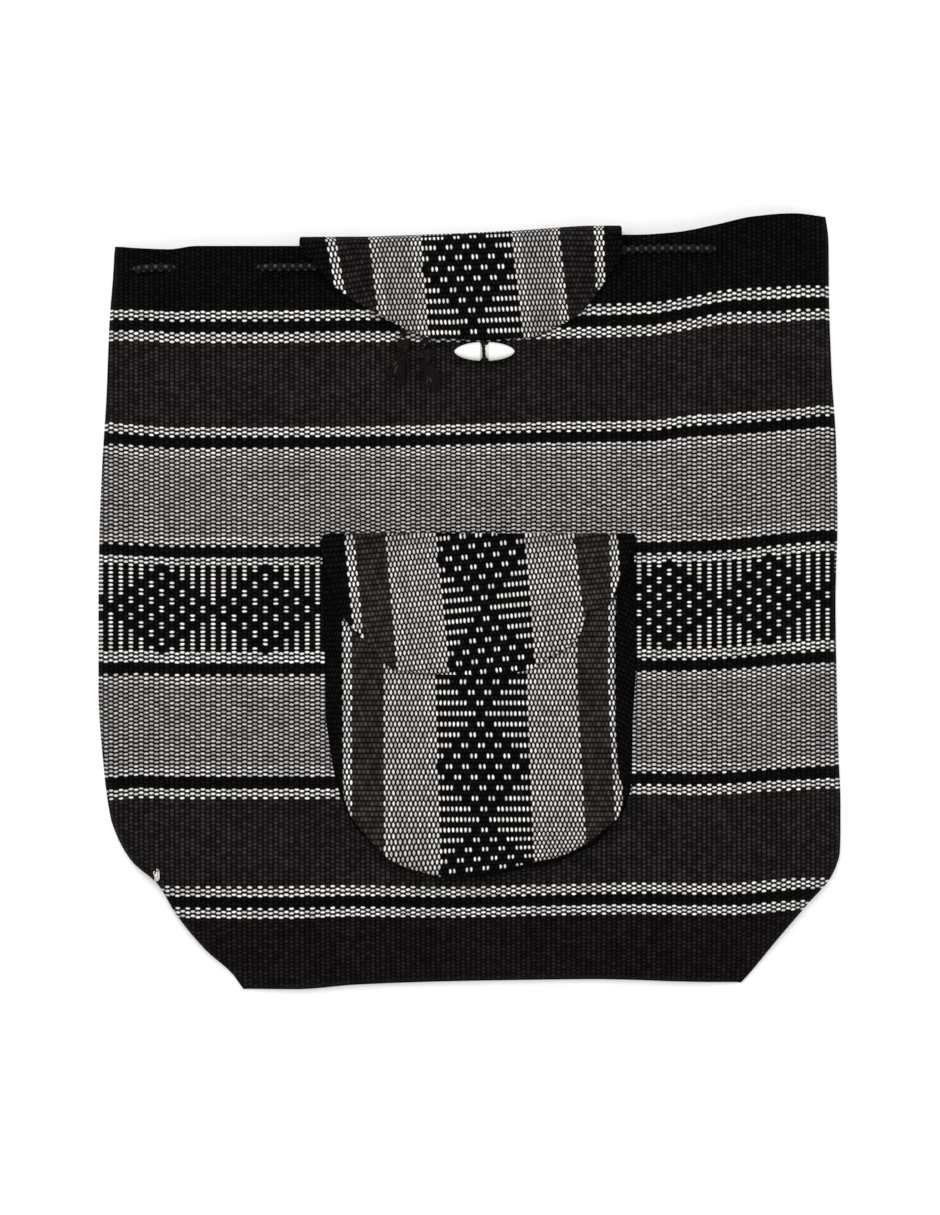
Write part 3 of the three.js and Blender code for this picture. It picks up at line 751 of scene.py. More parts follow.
@dataclass(frozen=True)
class YarnFinish:
    """Cord and loose yarn, with fine fibres, and where it is braided, painted highlights on the crowns and
    painted shade in the grooves.
    """

    name: str
    colour: tuple[float, float, float]
    roughness: float = 0.8
    # Whether the braid's crowns and grooves get painted highlight and painted shade
    braided: bool = False

    def material(self) -> bpy.types.Material:
        """Builds the yarn's material.

        Returns:
            The material.
        """
        made = bpy.data.materials.new(self.name)
        made.use_nodes = True
        g = Graph(made.node_tree)
        shader = made.node_tree.nodes["Principled BSDF"]
        place = g.add("ShaderNodeTexCoord")
        fine = g.noise(place.outputs["Object"], 2400.0, 3.0)
        slow = g.noise(place.outputs["Object"], 260.0)
        light = g.math("ADD", 0.55, g.math("MULTIPLY", fine, 0.6))
        light = g.math("ADD", light, g.math("MULTIPLY", slow, 0.3))
        # Painted highlight and shade: the braid's crowns keep the yarn's colour and its grooves are painted
        # nearly black
        if self.braided:
            crown = g.parts(g.add("ShaderNodeUVMap", uv_map="weave").outputs[0])[0]
            crown = g.math("POWER", g.rise(crown, 0.0, 1.0), 2.0)
            light = g.math("MULTIPLY", light, g.math("ADD", 0.07, g.math("MULTIPLY", crown, 0.93)))
        g.feed(shader.inputs["Base Color"], g.mix(1.0, (*self.colour, 1), light, "MULTIPLY"))
        bump = g.add("ShaderNodeBump")
        bump.inputs["Strength"].default_value = 0.5
        bump.inputs["Distance"].default_value = 0.0002
        g.feed(bump.inputs["Height"], fine)
        g.feed(shader.inputs["Normal"], bump.outputs[0])
        rough = g.math("ADD", self.roughness - 0.08, g.math("MULTIPLY", slow, 0.16))
        g.feed(shader.inputs["Roughness"], rough)
        shader.inputs["Specular IOR Level"].default_value = 0.08
        return made


@dataclass(frozen=True)
class ToggleFinish:
    """The toggle's smooth, slightly warm white."""

    name: str = "toggle white"
    colour: tuple[float, float, float] = (0.8, 0.8, 0.765)

    def material(self) -> bpy.types.Material:
        """Builds the toggle's material.

        Returns:
            The material.
        """
        made = bpy.data.materials.new(self.name)
        made.use_nodes = True
        g = Graph(made.node_tree)
        shader = made.node_tree.nodes["Principled BSDF"]
        place = g.add("ShaderNodeTexCoord")
        cloud = g.noise(place.outputs["Object"], 180.0, 4.0)
        scuff = g.noise(place.outputs["Object"], 1500.0, 2.0)
        light = g.math("ADD", 0.94, g.math("MULTIPLY", cloud, 0.1))
        g.feed(shader.inputs["Base Color"], g.mix(1.0, (*self.colour, 1), light, "MULTIPLY"))
        g.feed(shader.inputs["Roughness"], g.math("ADD", 0.3, g.math("MULTIPLY", scuff, 0.16)))
        bump = g.add("ShaderNodeBump")
        bump.inputs["Strength"].default_value = 0.1
        bump.inputs["Distance"].default_value = 0.0002
        g.feed(bump.inputs["Height"], scuff)
        g.feed(shader.inputs["Normal"], bump.outputs[0])
        return made


class Finishes:
    """Every material of the bag."""

    def __init__(self) -> None:
        """Builds the materials."""
        weaves = Weaves()
        paler = YarnColours(light=(0.66, 0.63, 0.6), dark=(0.048, 0.0415, 0.037))
        self.body = ClothFinish("banded cloth", BODY_BANDS, uneven=0.42).material(weaves)
        self.flap = ClothFinish("flap cloth", TURNED_BANDS, uneven=0.08).material(weaves)
        self.pocket = ClothFinish("pocket cloth", TURNED_BANDS, uneven=0.08, yarn=paler).material(weaves)
        self.black = ClothFinish("black cloth", [(Band.BLACK, 1)]).material(weaves)
        self.cord = YarnFinish("black cord", (0.07, 0.058, 0.058), braided=True).material()
        self.thread = YarnFinish("black thread", (0.0075, 0.0052, 0.005)).material()
        # Grey yarn for the short bits of painted highlight on the fringes
        self.highlight_speck_yarn = YarnFinish("highlight speck yarn", (0.07, 0.058, 0.054)).material()
        self.white_yarn = YarnFinish("white yarn", (0.8, 0.77, 0.72)).material()
        self.toggle = ToggleFinish().material()


def mesh_object(
    name: str, points: Array, faces: Sequence[Sequence[int]], material: bpy.types.Material
) -> bpy.types.Object:
    """Makes a smooth mesh object from points in millimetres.

    Args:
        name: the object's name.
        points: the points.
        faces: the corners of each face.
        material: its material.

    Returns:
        The object, in the scene.
    """
    mesh = bpy.data.meshes.new(name)
    mesh.from_pydata((np.asarray(points) * MM).tolist(), [], faces)
    mesh.materials.append(material)
    mesh.shade_smooth()
    made = bpy.data.objects.new(name, mesh)
    bpy.context.scene.collection.objects.link(made)
    return made


def set_weave(made: bpy.types.Object, picks: Array, ribs: Array) -> None:
    """Writes weave coordinates to a mesh's UV map, one pair for each point."""
    layer = made.data.uv_layers.new(name="weave")
    corner = np.empty(len(made.data.loops), dtype=np.int32)
    made.data.loops.foreach_get("vertex_index", corner)
    both = np.stack([np.ravel(picks), np.ravel(ribs)], axis=1)[corner]
    layer.data.foreach_set("uv", both.astype(np.float32).ravel())


@dataclass
class ClothWall:
    """A closed wall of cloth between an outer and an inner grid of points."""

    name: str
    columns: int
    rows: int
    thickness: float
    place: Callable[[Array, Array, float], tuple[Array, Array, Array]]
    weave: Callable[[Array, Array, Array, Array, Array], tuple[Array, Array]]
    spread_across: Callable[[Array], Array] = lambda t: t
    spread_up: Callable[[Array], Array] = lambda t: t
    bulge: float = 0.7
    seams: tuple[str, ...] = ()
    rings: int = 3
    relief: float = 0

    def build(self, material: bpy.types.Material) -> bpy.types.Object:
        """Builds the wall with rounded free edges.

        Args:
            material: its material.

        Returns:
            The object.
        """
        across = self.spread_across(np.linspace(0, 1, self.columns + 1))
        u, v = np.meshgrid(across, self.spread_up(np.linspace(0, 1, self.rows + 1)))
        outer = np.stack(np.broadcast_arrays(*self.place(u, v, 0.0)), axis=-1)
        inner = np.stack(np.broadcast_arrays(*self.place(u, v, self.thickness)), axis=-1)
        picks, ribs = self.weave(u, v, outer[..., 0], outer[..., 1], outer[..., 2])
        picks, ribs = np.broadcast_to(picks, u.shape), np.broadcast_to(ribs, u.shape)
        outer[..., 2] += self.relief * (np.abs(np.sin(np.pi * ribs)) - 0.5)
        c, r = self.columns, self.rows
        loop = [(0, i, "bottom") for i in range(c)] + [(j, c, "right") for j in range(r)]
        loop += [(r, i, "top") for i in range(c, 0, -1)] + [(j, 0, "left") for j in range(r, 0, -1)]
        row, column = np.array([p[0] for p in loop]), np.array([p[1] for p in loop])
        rim_out, rim_in = outer[row, column], inner[row, column]
        away = rim_out - outer[np.clip(row, 1, r - 1), np.clip(column, 1, c - 1)]
        away /= np.maximum(np.linalg.norm(away, axis=1, keepdims=True), 1e-9)
        free = np.array([0.0 if p[2] in self.seams else 1.0 for p in loop])[:, None]
        rings = []
        for k in range(1, self.rings + 1):
            t = k / (self.rings + 1)
            swell = away * free * self.bulge * math.sin(math.pi * t)
            rings.append(lerp(rim_out, rim_in, 0.5 - 0.5 * math.cos(math.pi * t)) + swell)
        layer, around = (c + 1) * (r + 1), len(loop)
        points = np.vstack([outer.reshape(-1, 3), inner.reshape(-1, 3), *rings])
        j, i = (a.ravel() for a in np.meshgrid(np.arange(r), np.arange(c), indexing="ij"))
        at = j * (c + 1) + i
        over = np.stack([at, at + 1, at + c + 2, at + c + 1], axis=1)
        under = np.stack([at, at + c + 1, at + c + 2, at + 1], axis=1) + layer
        start = row * (c + 1) + column
        between = [2 * layer + k * around + np.arange(around) for k in range(self.rings)]
        bands = [start, *between, start + layer]
        faces = [over, under]
        for a, b in zip(bands, bands[1:]):
            faces.append(np.stack([a, b, np.roll(b, -1), np.roll(a, -1)], axis=1))
        made = mesh_object(self.name, points, np.vstack(faces).tolist(), material)
        rim = (picks[row, column], ribs[row, column])
        set_weave(
            made,
            np.concatenate([picks.ravel(), picks.ravel(), *[rim[0]] * self.rings]),
            np.concatenate([ribs.ravel(), ribs.ravel(), *[rim[1]] * self.rings]),
        )
        return made


@dataclass
class BraidedCord:
    """A round braided cord along a line of points, in millimetres."""

    name: str
    line: Array
    radius: float
    sides: int = 24
    step: float = 0.5
    relief: float = 0.32
    strands: int = 2
    lay: float = 9.4

    def build(self, material: bpy.types.Material) -> bpy.types.Object:
        """Builds the cord.

        Args:
            material: its material.

        Returns:
            The object.
        """
        length = np.linalg.norm(np.diff(self.line, axis=0), axis=1).sum()
        line = spline(self.line, max(int(length / self.step), 8))
        along = np.gradient(line, axis=0)
        along /= np.linalg.norm(along, axis=1, keepdims=True)
        side = np.cross(along[0], (0.3, 0.2, 1.0))
        frames = []
        for direction in along:
            side = side - direction * side.dot(direction)
            side /= np.linalg.norm(side)
            frames.append((side, np.cross(direction, side)))
        far = np.linspace(0, length, len(line))[:, None]
        turn = np.linspace(0, 2 * np.pi, self.sides, endpoint=False)[None, :]
        twist = 2 * np.pi * far / self.lay
        weave = np.cos(self.strands * (turn - np.pi / 4)) * np.cos(self.strands * twist)
        inward = 1 - np.clip(np.minimum(far, length - far) / self.radius, 0, 1)
        cap = np.sqrt(np.clip(1 - inward**2, 0.02, 1))
        reach = self.radius * (1 - self.relief / 2 + self.relief / 2 * weave) * cap
        a = np.array([f[0] for f in frames])[:, None, :]
        b = np.array([f[1] for f in frames])[:, None, :]
        section = a * np.cos(turn)[..., None] + b * np.sin(turn)[..., None]
        points = line[:, None, :] + section * reach[..., None]
        n, s = len(line), self.sides
        faces = []
        for j in range(n - 1):
            for i in range(s):
                k = (i + 1) % s
                faces.append((j * s + i, j * s + k, (j + 1) * s + k, (j + 1) * s + i))
        faces.append(tuple(range(s))[::-1])
        faces.append(tuple((n - 1) * s + i for i in range(s)))
        made = mesh_object(self.name, points.reshape(-1, 3), faces, material)
        set_weave(made, weave, far + 0 * turn)
        return made


class YarnNodes:
    """A geometry tree that turns thin lines into tapering yarn."""

    def __init__(self) -> None:
        """Builds the tree with its named inputs."""
        tree = bpy.data.node_groups.new("loose yarn", "GeometryNodeTree")
        face = tree.interface
        face.new_socket("Lines", in_out="INPUT", socket_type="NodeSocketGeometry")
        self.radius = face.new_socket("Radius", in_out="INPUT", socket_type="NodeSocketFloat").identifier
        self.tip = face.new_socket("Tip share", in_out="INPUT", socket_type="NodeSocketFloat").identifier
        self.sides = face.new_socket("Sides", in_out="INPUT", socket_type="NodeSocketInt").identifier
        self.finish = face.new_socket("Finish", in_out="INPUT", socket_type="NodeSocketMaterial").identifier
        face.new_socket("Yarn", in_out="OUTPUT", socket_type="NodeSocketGeometry")
        g = Graph(tree)
        source, sink = g.add("NodeGroupInput"), g.add("NodeGroupOutput")
        share = g.add("GeometryNodeSplineParameter").outputs["Factor"]
        lost = g.math("SUBTRACT", 1.0, source.outputs["Tip share"])
        drop = g.math("MULTIPLY", g.math("POWER", share, 2.0), lost)
        thin = g.add("GeometryNodeSetCurveRadius")
        g.feed(thin.inputs["Curve"], source.outputs["Lines"])
        g.feed(thin.inputs["Radius"], g.math("SUBTRACT", 1.0, drop))
        ring = g.add("GeometryNodeCurvePrimitiveCircle")
        g.feed(ring.inputs["Resolution"], source.outputs["Sides"])
        g.feed(ring.inputs["Radius"], source.outputs["Radius"])
        skin = g.add("GeometryNodeCurveToMesh")
        g.feed(skin.inputs["Curve"], thin.outputs[0])
        g.feed(skin.inputs["Profile Curve"], ring.outputs[0])
        skin.inputs["Fill Caps"].default_value = True
        if "Scale" in skin.inputs:
            g.feed(skin.inputs["Scale"], g.math("SUBTRACT", 1.0, drop))
        real = g.add("GeometryNodeRealizeInstances")
        g.feed(real.inputs[0], skin.outputs[0])
        dress = g.add("GeometryNodeSetMaterial")
        g.feed(dress.inputs["Geometry"], real.outputs[0])
        g.feed(dress.inputs["Material"], source.outputs["Finish"])
        g.feed(sink.inputs[0], dress.outputs[0])
        self.tree = tree

    def spin(
        self, name: str, lines: Sequence[Array], radius: float, tip: float, sides: int, finish: Any
    ) -> bpy.types.Object:
        """Turns lines into a plain mesh of yarn.

        Args:
            name: the object's name.
            lines: each line's points, in millimetres.
            radius: the yarn's radius, in millimetres.
            tip: the share of the radius that is left at a line's end.
            sides: the sides of the yarn's section.
            finish: its material.

        Returns:
            The object.
        """
        curve = bpy.data.curves.new(name + " lines", "CURVE")
        curve.dimensions = "3D"
        for line in lines:
            path = curve.splines.new("POLY")
            path.points.add(len(line) - 1)
            flat = np.concatenate([np.asarray(line) * MM, np.ones((len(line), 1))], axis=1)
            path.points.foreach_set("co", flat.ravel())
        holder = bpy.data.objects.new(name + " holder", curve)
        bpy.context.scene.collection.objects.link(holder)
        modifier = holder.modifiers.new("yarn", "NODES")
        modifier.node_group = self.tree
        modifier[self.radius] = radius * MM
        modifier[self.tip] = tip
        modifier[self.sides] = sides
        modifier[self.finish] = finish
        mesh = bpy.data.meshes.new_from_object(holder.evaluated_get(bpy.context.evaluated_depsgraph_get()))
        bpy.data.objects.remove(holder)
        mesh.name = name
        if not mesh.materials:
            mesh.materials.append(finish)
        made = bpy.data.objects.new(name, mesh)
        bpy.context.scene.collection.objects.link(made)
        return made


def joined(name: str, objects: Sequence[bpy.types.Object]) -> bpy.types.Object:
    """Joins meshes into one object.

    Args:
        name: its name.
        objects: the objects, which it takes the place of.

    Returns:
        The object.
    """
    for other in bpy.context.selected_objects:
        other.select_set(False)
    for each in objects:
        each.select_set(True)
    bpy.context.view_layer.objects.active = objects[0]
    bpy.ops.object.join()
    objects[0].name = name
    return objects[0]


@dataclass
class Studio:
    """Floor, soft light and a camera straight above, as in the photograph."""

    high: float = 4.0
    frame_height: float = 0.66825
    middle: tuple[float, float] = (0.00055, -0.0033)
    plane: float = 0.010

    def camera(self) -> None:
        """Hangs the camera over the bag."""
        data = bpy.data.cameras.new("camera")
        data.sensor_width = 36
        data.lens = 36 * (self.high - self.plane) / self.frame_height
        made = bpy.data.objects.new("camera", data)
        made.location = (*self.middle, self.high)
        bpy.context.scene.collection.objects.link(made)
        bpy.context.scene.camera = made

    def light(self) -> None:
        """Lays the floor and hangs the lights."""
        world = bpy.data.worlds.new("studio")
        bpy.context.scene.world = world
        world.use_nodes = True
        world.node_tree.nodes["Background"].inputs[0].default_value = (1, 1, 1, 1)
        world.node_tree.nodes["Background"].inputs[1].default_value = 0.75
        for name, place, size, power in (
            ("key", (-0.35, 1.1, 1.9), 1.4, 30),
            ("fill", (0.6, -0.9, 1.7), 1.6, 9),
        ):
            data = bpy.data.lights.new(name, "AREA")
            data.size = size
            data.energy = power
            made = bpy.data.objects.new(name, data)
            made.location = place
            made.rotation_euler = (-Vector(place)).to_track_quat("-Z", "Y").to_euler()
            bpy.context.scene.collection.objects.link(made)
        pale = bpy.data.materials.new("pale floor")
        pale.use_nodes = True
        pale.node_tree.nodes["Principled BSDF"].inputs["Base Color"].default_value = (0.93, 0.93, 0.93, 1)
        pale.node_tree.nodes["Principled BSDF"].inputs["Roughness"].default_value = 0.9
        reach, level = 6000, -0.25
        corners = [(x * reach, y * reach, level) for x, y in ((-1, -1), (1, -1), (1, 1), (-1, 1))]
        floor = mesh_object("floor", np.array(corners), [(0, 1, 2, 3)], pale)
        bpy.context.scene.view_settings.view_transform = "Standard"


def finish_piece(piece: bpy.types.Object, slot: str, *nodes: str) -> None:
    """Puts a piece on the bag's body, in the place of its nodes."""
    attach(piece, "root")
    if nodes:
        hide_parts(*nodes)


# Millimetres for each of the photograph's pixels, and the pixel over the middle of the bag's box
PX = 0.55
MIDDLE_PX = (469, 601.5)

# How far the ribs of the pocket and of both flaps stand up, in millimetres
RIB_RELIEF = 0.24

# The middle of a rib on which two diamonds of turned cloth meet
MEETING_RIB = 100.5


def across_px(px: float) -> float:
    """Turns the photograph's pixels across into millimetres."""
    return (px - MIDDLE_PX[0]) * PX


def up_px(px: float) -> float:
    """Turns the photograph's pixels down into millimetres up."""
    return (MIDDLE_PX[1] - px) * PX


PICKS = [
    PickRow(0, 0.0417),
    PickRow(33, 0.1267),
    PickRow(47, 0.1659),
    PickRow(89, 0.2768),
    PickRow(99, 0.3032),
    PickRow(147, 0.4287),
    PickRow(153, 0.4447),
    PickRow(199, 0.5657),
    PickRow(210, 0.5963),
    PickRow(258, 0.7256),
    PickRow(265, 0.7424),
    PickRow(312, 0.8695),
    PickRow(326, 0.9082),
    PickRow(360, 0.9972),
]

# How far below the top of the bag's box the two ends and the five lines run where they rest
REST_LINES = (0.0417, 0.1545, 0.2735, 0.4443, 0.7419, 0.8661, 0.9985)
WEFT_LINES = [
    WeftRow(0.02, 0.151, 0.267, 0.4405, 0.744, 0.867),
    WeftRow(0.058, 0.1514, 0.2705, 0.4422, 0.7406, 0.8665),
    WeftRow(0.112, 0.1545, 0.2738, 0.4443, 0.7418, 0.8661),
    WeftRow(0.219, 0.1545, 0.2735, 0.4443, 0.7419, 0.8661),
    WeftRow(0.34, 0.1528, 0.2726, 0.4426, 0.7419, 0.8646),
    WeftRow(0.4745, 0.1535, 0.2699, 0.44, 0.7406, 0.8662),
    WeftRow(0.609, 0.149, 0.2668, 0.4382, 0.7381, 0.8628),
    WeftRow(0.743, 0.1449, 0.2646, 0.4382, 0.7356, 0.8604),
    WeftRow(0.797, 0.1368, 0.2581, 0.437, 0.7364, 0.8613),
    WeftRow(0.851, 0.1285, 0.2551, 0.4346, 0.735, 0.8614),
    WeftRow(0.9046, 0.1276, 0.2516, 0.4292, 0.7317, 0.8575),
    WeftRow(0.945, 0.1244, 0.2484, 0.4253, 0.7302, 0.855),
    WeftRow(0.974, 0.1231, 0.245, 0.4232, 0.7288, 0.8554),
]

# Places as shares across the bag, each with the rib that lies there
RIB_PLACES = (
    (-0.0163, -4.5), (0.0184, 0.5), (0.1567, 20.5), (0.297, 40.5), (0.836, 120.5), (0.969, 140.5),
    (1.0023, 145.5),
)
POCKET_STRIPES = [
    StripeRow(0, across_px(318.5), across_px(318.5)),
    StripeRow(12, across_px(343.2), across_px(343.2)),
    StripeRow(32, across_px(385), across_px(385)),
    StripeRow(56, across_px(434.3), across_px(440)),
    StripeRow(101, across_px(526.5), across_px(534.5)),
    StripeRow(125, across_px(576), across_px(587)),
    StripeRow(141, across_px(608.5), across_px(618.5)),
    StripeRow(160, across_px(647), across_px(657)),
]
POCKET_FLAP_STRIPES = [
    StripeRow(0, across_px(320), across_px(334)),
    StripeRow(12, across_px(345.5), across_px(359)),
    StripeRow(32, across_px(386.5), across_px(398.5)),
    StripeRow(56, across_px(434.5), across_px(449)),
    StripeRow(101, across_px(524.3), across_px(536)),
    StripeRow(125, across_px(572.5), across_px(590)),
    StripeRow(141, across_px(609), across_px(615)),
    StripeRow(160, across_px(645), across_px(651)),
]
FLAP_STRIPES = [
    StripeRow(0, across_px(303), across_px(324)),
    StripeRow(12, across_px(326.5), across_px(347.5)),
    StripeRow(32, across_px(369.5), across_px(381)),
    StripeRow(56, across_px(419.5), across_px(427.5)),
    StripeRow(101, across_px(511.5), across_px(523)),
    StripeRow(125, across_px(558.5), across_px(570)),
    StripeRow(141, across_px(594.5), across_px(598)),
    StripeRow(160, across_px(633), across_px(636)),
]


def stripe_picks(rows: Sequence[StripeRow], x: Array, share: Array) -> Array:
    """Gives the pick that lies at each place of turned cloth.

    Args:
        rows: where the stripes' edges lie.
        x: places across, in millimetres.
        share: shares of the way from the stripes' top to their hem.

    Returns:
        The picks.
    """
    share = np.clip(share, 0, 1)
    picks = np.zeros(np.broadcast(x, share).shape)
    for a, b in zip(rows, rows[1:]):
        low, high = lerp(a.top, a.hem, share), lerp(b.top, b.hem, share)
        inside = (x >= low) | (a is rows[0])
        picks = np.where(inside, a.pick + (b.pick - a.pick) * (x - low) / (high - low), picks)
    return picks


@dataclass(frozen=True)
class TurnedWeave:
    """Where the picks and ribs of turned cloth lie, in the photograph's pixels."""

    stripes: Sequence[StripeRow]
    top: float
    drop: float
    meeting: float
    pitch: float
    level_at: float = 0
    slope: float = 0

    def picks(self, x: Array, y: Array) -> Array:
        """Gives the picks at places across and up, in millimetres."""
        return stripe_picks(self.stripes, x, (up_px(self.top) - y) / (self.drop * PX))

    def ribs(self, x: Array, y: Array) -> Array:
        """Gives the ribs at places across and up, in millimetres."""
        above = y - up_px(self.meeting) - self.slope * (x - across_px(self.level_at))
        return MEETING_RIB - above / (self.pitch * PX)


FLAP_WEAVE = TurnedWeave(FLAP_STRIPES, top=235, drop=103, meeting=322, pitch=5.33, level_at=465, slope=0.035)
POCKET_WEAVE = TurnedWeave(POCKET_STRIPES, top=690, drop=187, meeting=818.5, pitch=5.275)
POCKET_FLAP_WEAVE = TurnedWeave(
    POCKET_FLAP_STRIPES, top=535, drop=142, meeting=608, pitch=5.25, level_at=485, slope=0.1
)


@dataclass
class BagBody:
    """The front and the back panel."""

    shape: BagShape
    finishes: Finishes
    columns: int = 170
    rows: int = 176
    pucker: float = 0.45
    pucker_reach: float = 26
    slack: float = 0.35
    pocket_middle: tuple[float, float] = (6, -57)
    pocket_half: tuple[float, float] = (92, 96)
    slack_ease: float = 25

    def weave(self, u: Array, v: Array, x: Array, y: Array, z: Array) -> tuple[Array, Array]:
        """Gives the cloth's picks and ribs at places of a panel."""
        s = self.shape
        across = x / s.width + 0.5
        down = 0.5 - y / s.height
        names = ("second_white", "dark_end", "diamonds", "lower_white", "last_dark_end")
        lines = [0.5 - s.mouth_y(x) / s.height] + [Curve(WEFT_LINES, "across", n)(across) for n in names]
        lines.append(0.5 - s.bottom_y(x) / s.height)
        rest = np.zeros(x.shape)
        for high, low, first, last in zip(lines, lines[1:], REST_LINES, REST_LINES[1:]):
            inside = (down >= high) | (first == REST_LINES[0])
            rest = np.where(inside, first + (last - first) * (down - high) / (low - high), rest)
        picks = np.interp(rest, [row.down for row in PICKS], [row.pick for row in PICKS])
        places = np.array(RIB_PLACES)
        return picks, np.interp(across, places[:, 0], places[:, 1])

    def ripple(self, x: Array, y: Array) -> Array:
        """Gives the small puckers under the mouth and the slack of the cloth."""
        s = self.shape
        near = np.exp(-(((s.mouth_y(x) - y) / self.pucker_reach) ** 2))
        waves = np.sin(x / 5.3 + 0.8 * np.sin(x / 31)) + 0.6 * np.sin(x / 8.1 + 2)
        swell = np.sin(x / 37 + y / 61) * np.sin(y / 43 - x / 90)
        aside = np.abs(x - self.pocket_middle[0]) - self.pocket_half[0]
        above = np.abs(y - self.pocket_middle[1]) - self.pocket_half[1]
        away = smooth(np.maximum(aside, above), 0, self.slack_ease)
        return self.pucker * near * waves * 0.5 + self.slack * swell * away

    def front(self) -> bpy.types.Object:
        """Builds the front panel."""
        s = self.shape

        def place(u: Array, v: Array, depth: float) -> tuple[Array, Array, Array]:
            """Gives the point at shares across and up, this deep in the wall."""
            x, y, side, foot = s.plan(u, v, depth)
            inner = rounded(side, s.turn) * rounded(foot, s.turn)
            return x, y, s.front_height(x, y, side, foot, depth) + self.ripple(x, y) * inner

        wall = ClothWall(
            "woven_front", self.columns, self.rows, s.cloth, place, self.weave,
            lambda t: close_at_ends(t, 0.6), lambda t: close_at_ends(t, 0.5), bulge=0.3,
            seams=("left", "right", "bottom"),
        )
        return wall.build(self.finishes.body)

    def back(self) -> bpy.types.Object:
        """Builds the back panel."""
        s = self.shape

        def place(u: Array, v: Array, depth: float) -> tuple[Array, Array, Array]:
            """Gives the point at shares across and up, this deep in the wall."""
            x, y, _, _ = s.plan(u, v, 0)
            return x, y, s.back_lift(x, y) + s.cloth - depth

        wall = ClothWall("woven_back", 120, 120, s.cloth, place, self.weave, bulge=0.8)
        return wall.build(self.finishes.body)

    def build(self) -> None:
        """Builds both panels and puts them on the bag's body."""
        front, back = self.front(), self.back()
        finish_piece(front, "banded_cloth", "bag_front")
        finish_piece(back, "banded_cloth", "bag_back")
        LOG.info("front and back panels: %d and %d faces", len(front.data.polygons), len(back.data.polygons))


@dataclass
class MainFlap:
    """The flap that comes from the back over the mouth."""

    shape: BagShape
    finishes: Finishes
    crown: float = 5.2
    spread: float = 10
    ease: float = 16
    front_rows: int = 96
    crown_rows: int = 14
    root_rows: int = 10

    def build(self) -> None:
        s = self.shape
        left_edge, right_edge = side_curves(FLAP_SIDES)
        height = s.cord_gap + 2 * s.cord_radius
        low, high = s.flap_left - self.spread, s.flap_left + s.flap_width + self.spread
        under = [
            Under(x, y, s.cord_radius, height)
            for x, y, lies in DRAWSTRING_ROUTE
            if lies == "over" and low < x < high
        ]
        under += [Under(x, y, s.cord_radius, height) for route in TAIL_ROUTES.values() for x, y in route]
        rows = self.front_rows + self.crown_rows + self.root_rows
        hem = s.flap_hem()

        def over(x: Array, y: Array) -> Array:
            """Gives the height of the flap's upper face."""
            return s.front_at(x, y) + drape(under, self.spread, self.ease, x, y) + s.hang + s.cloth

        def place(u: Array, v: Array, depth: float) -> tuple[Array, Array, Array]:
            """Gives the point at shares across and up, this deep in the wall."""
            row = v * rows
            up = np.minimum(row / self.front_rows, 1)
            x = s.flap_left + lerp(left_edge(up), 1 - right_edge(up), u) * s.flap_width
            edge = s.mouth_y(x) + s.gap
            bend = np.clip((row - self.front_rows) / self.crown_rows, 0, 1) * np.pi
            down = np.maximum(row - self.front_rows - self.crown_rows, 0) / self.root_rows
            top = over(x, edge) - depth
            middle = (top + depth) / 2
            lies = row <= self.front_rows
            turned = edge + (self.crown - depth) * np.sin(bend) - down * s.flap_root
            y = np.where(lies, lerp(hem, edge, up), turned)
            z = np.where(lies, over(x, y) - depth, middle + (top - middle) * np.cos(bend))
            return x, y, z

        def weave(u: Array, v: Array, x: Array, y: Array, z: Array) -> tuple[Array, Array]:
            """Gives the picks and ribs at the wall's points."""
            steps = np.hypot(np.diff(y, axis=0), np.diff(z, axis=0))
            far = np.vstack([np.zeros((1, y.shape[1])), np.cumsum(steps, axis=0)])
            level = hem + far
            return FLAP_WEAVE.picks(x, level), FLAP_WEAVE.ribs(x, level)

        wall = ClothWall("woven_flap", 100, rows, s.cloth, place, weave, bulge=0.9, relief=RIB_RELIEF)
        flap = wall.build(self.finishes.flap)
        finish_piece(flap, "banded_cloth", "main_flap")
        LOG.info("main flap: %d faces", len(flap.data.polygons))


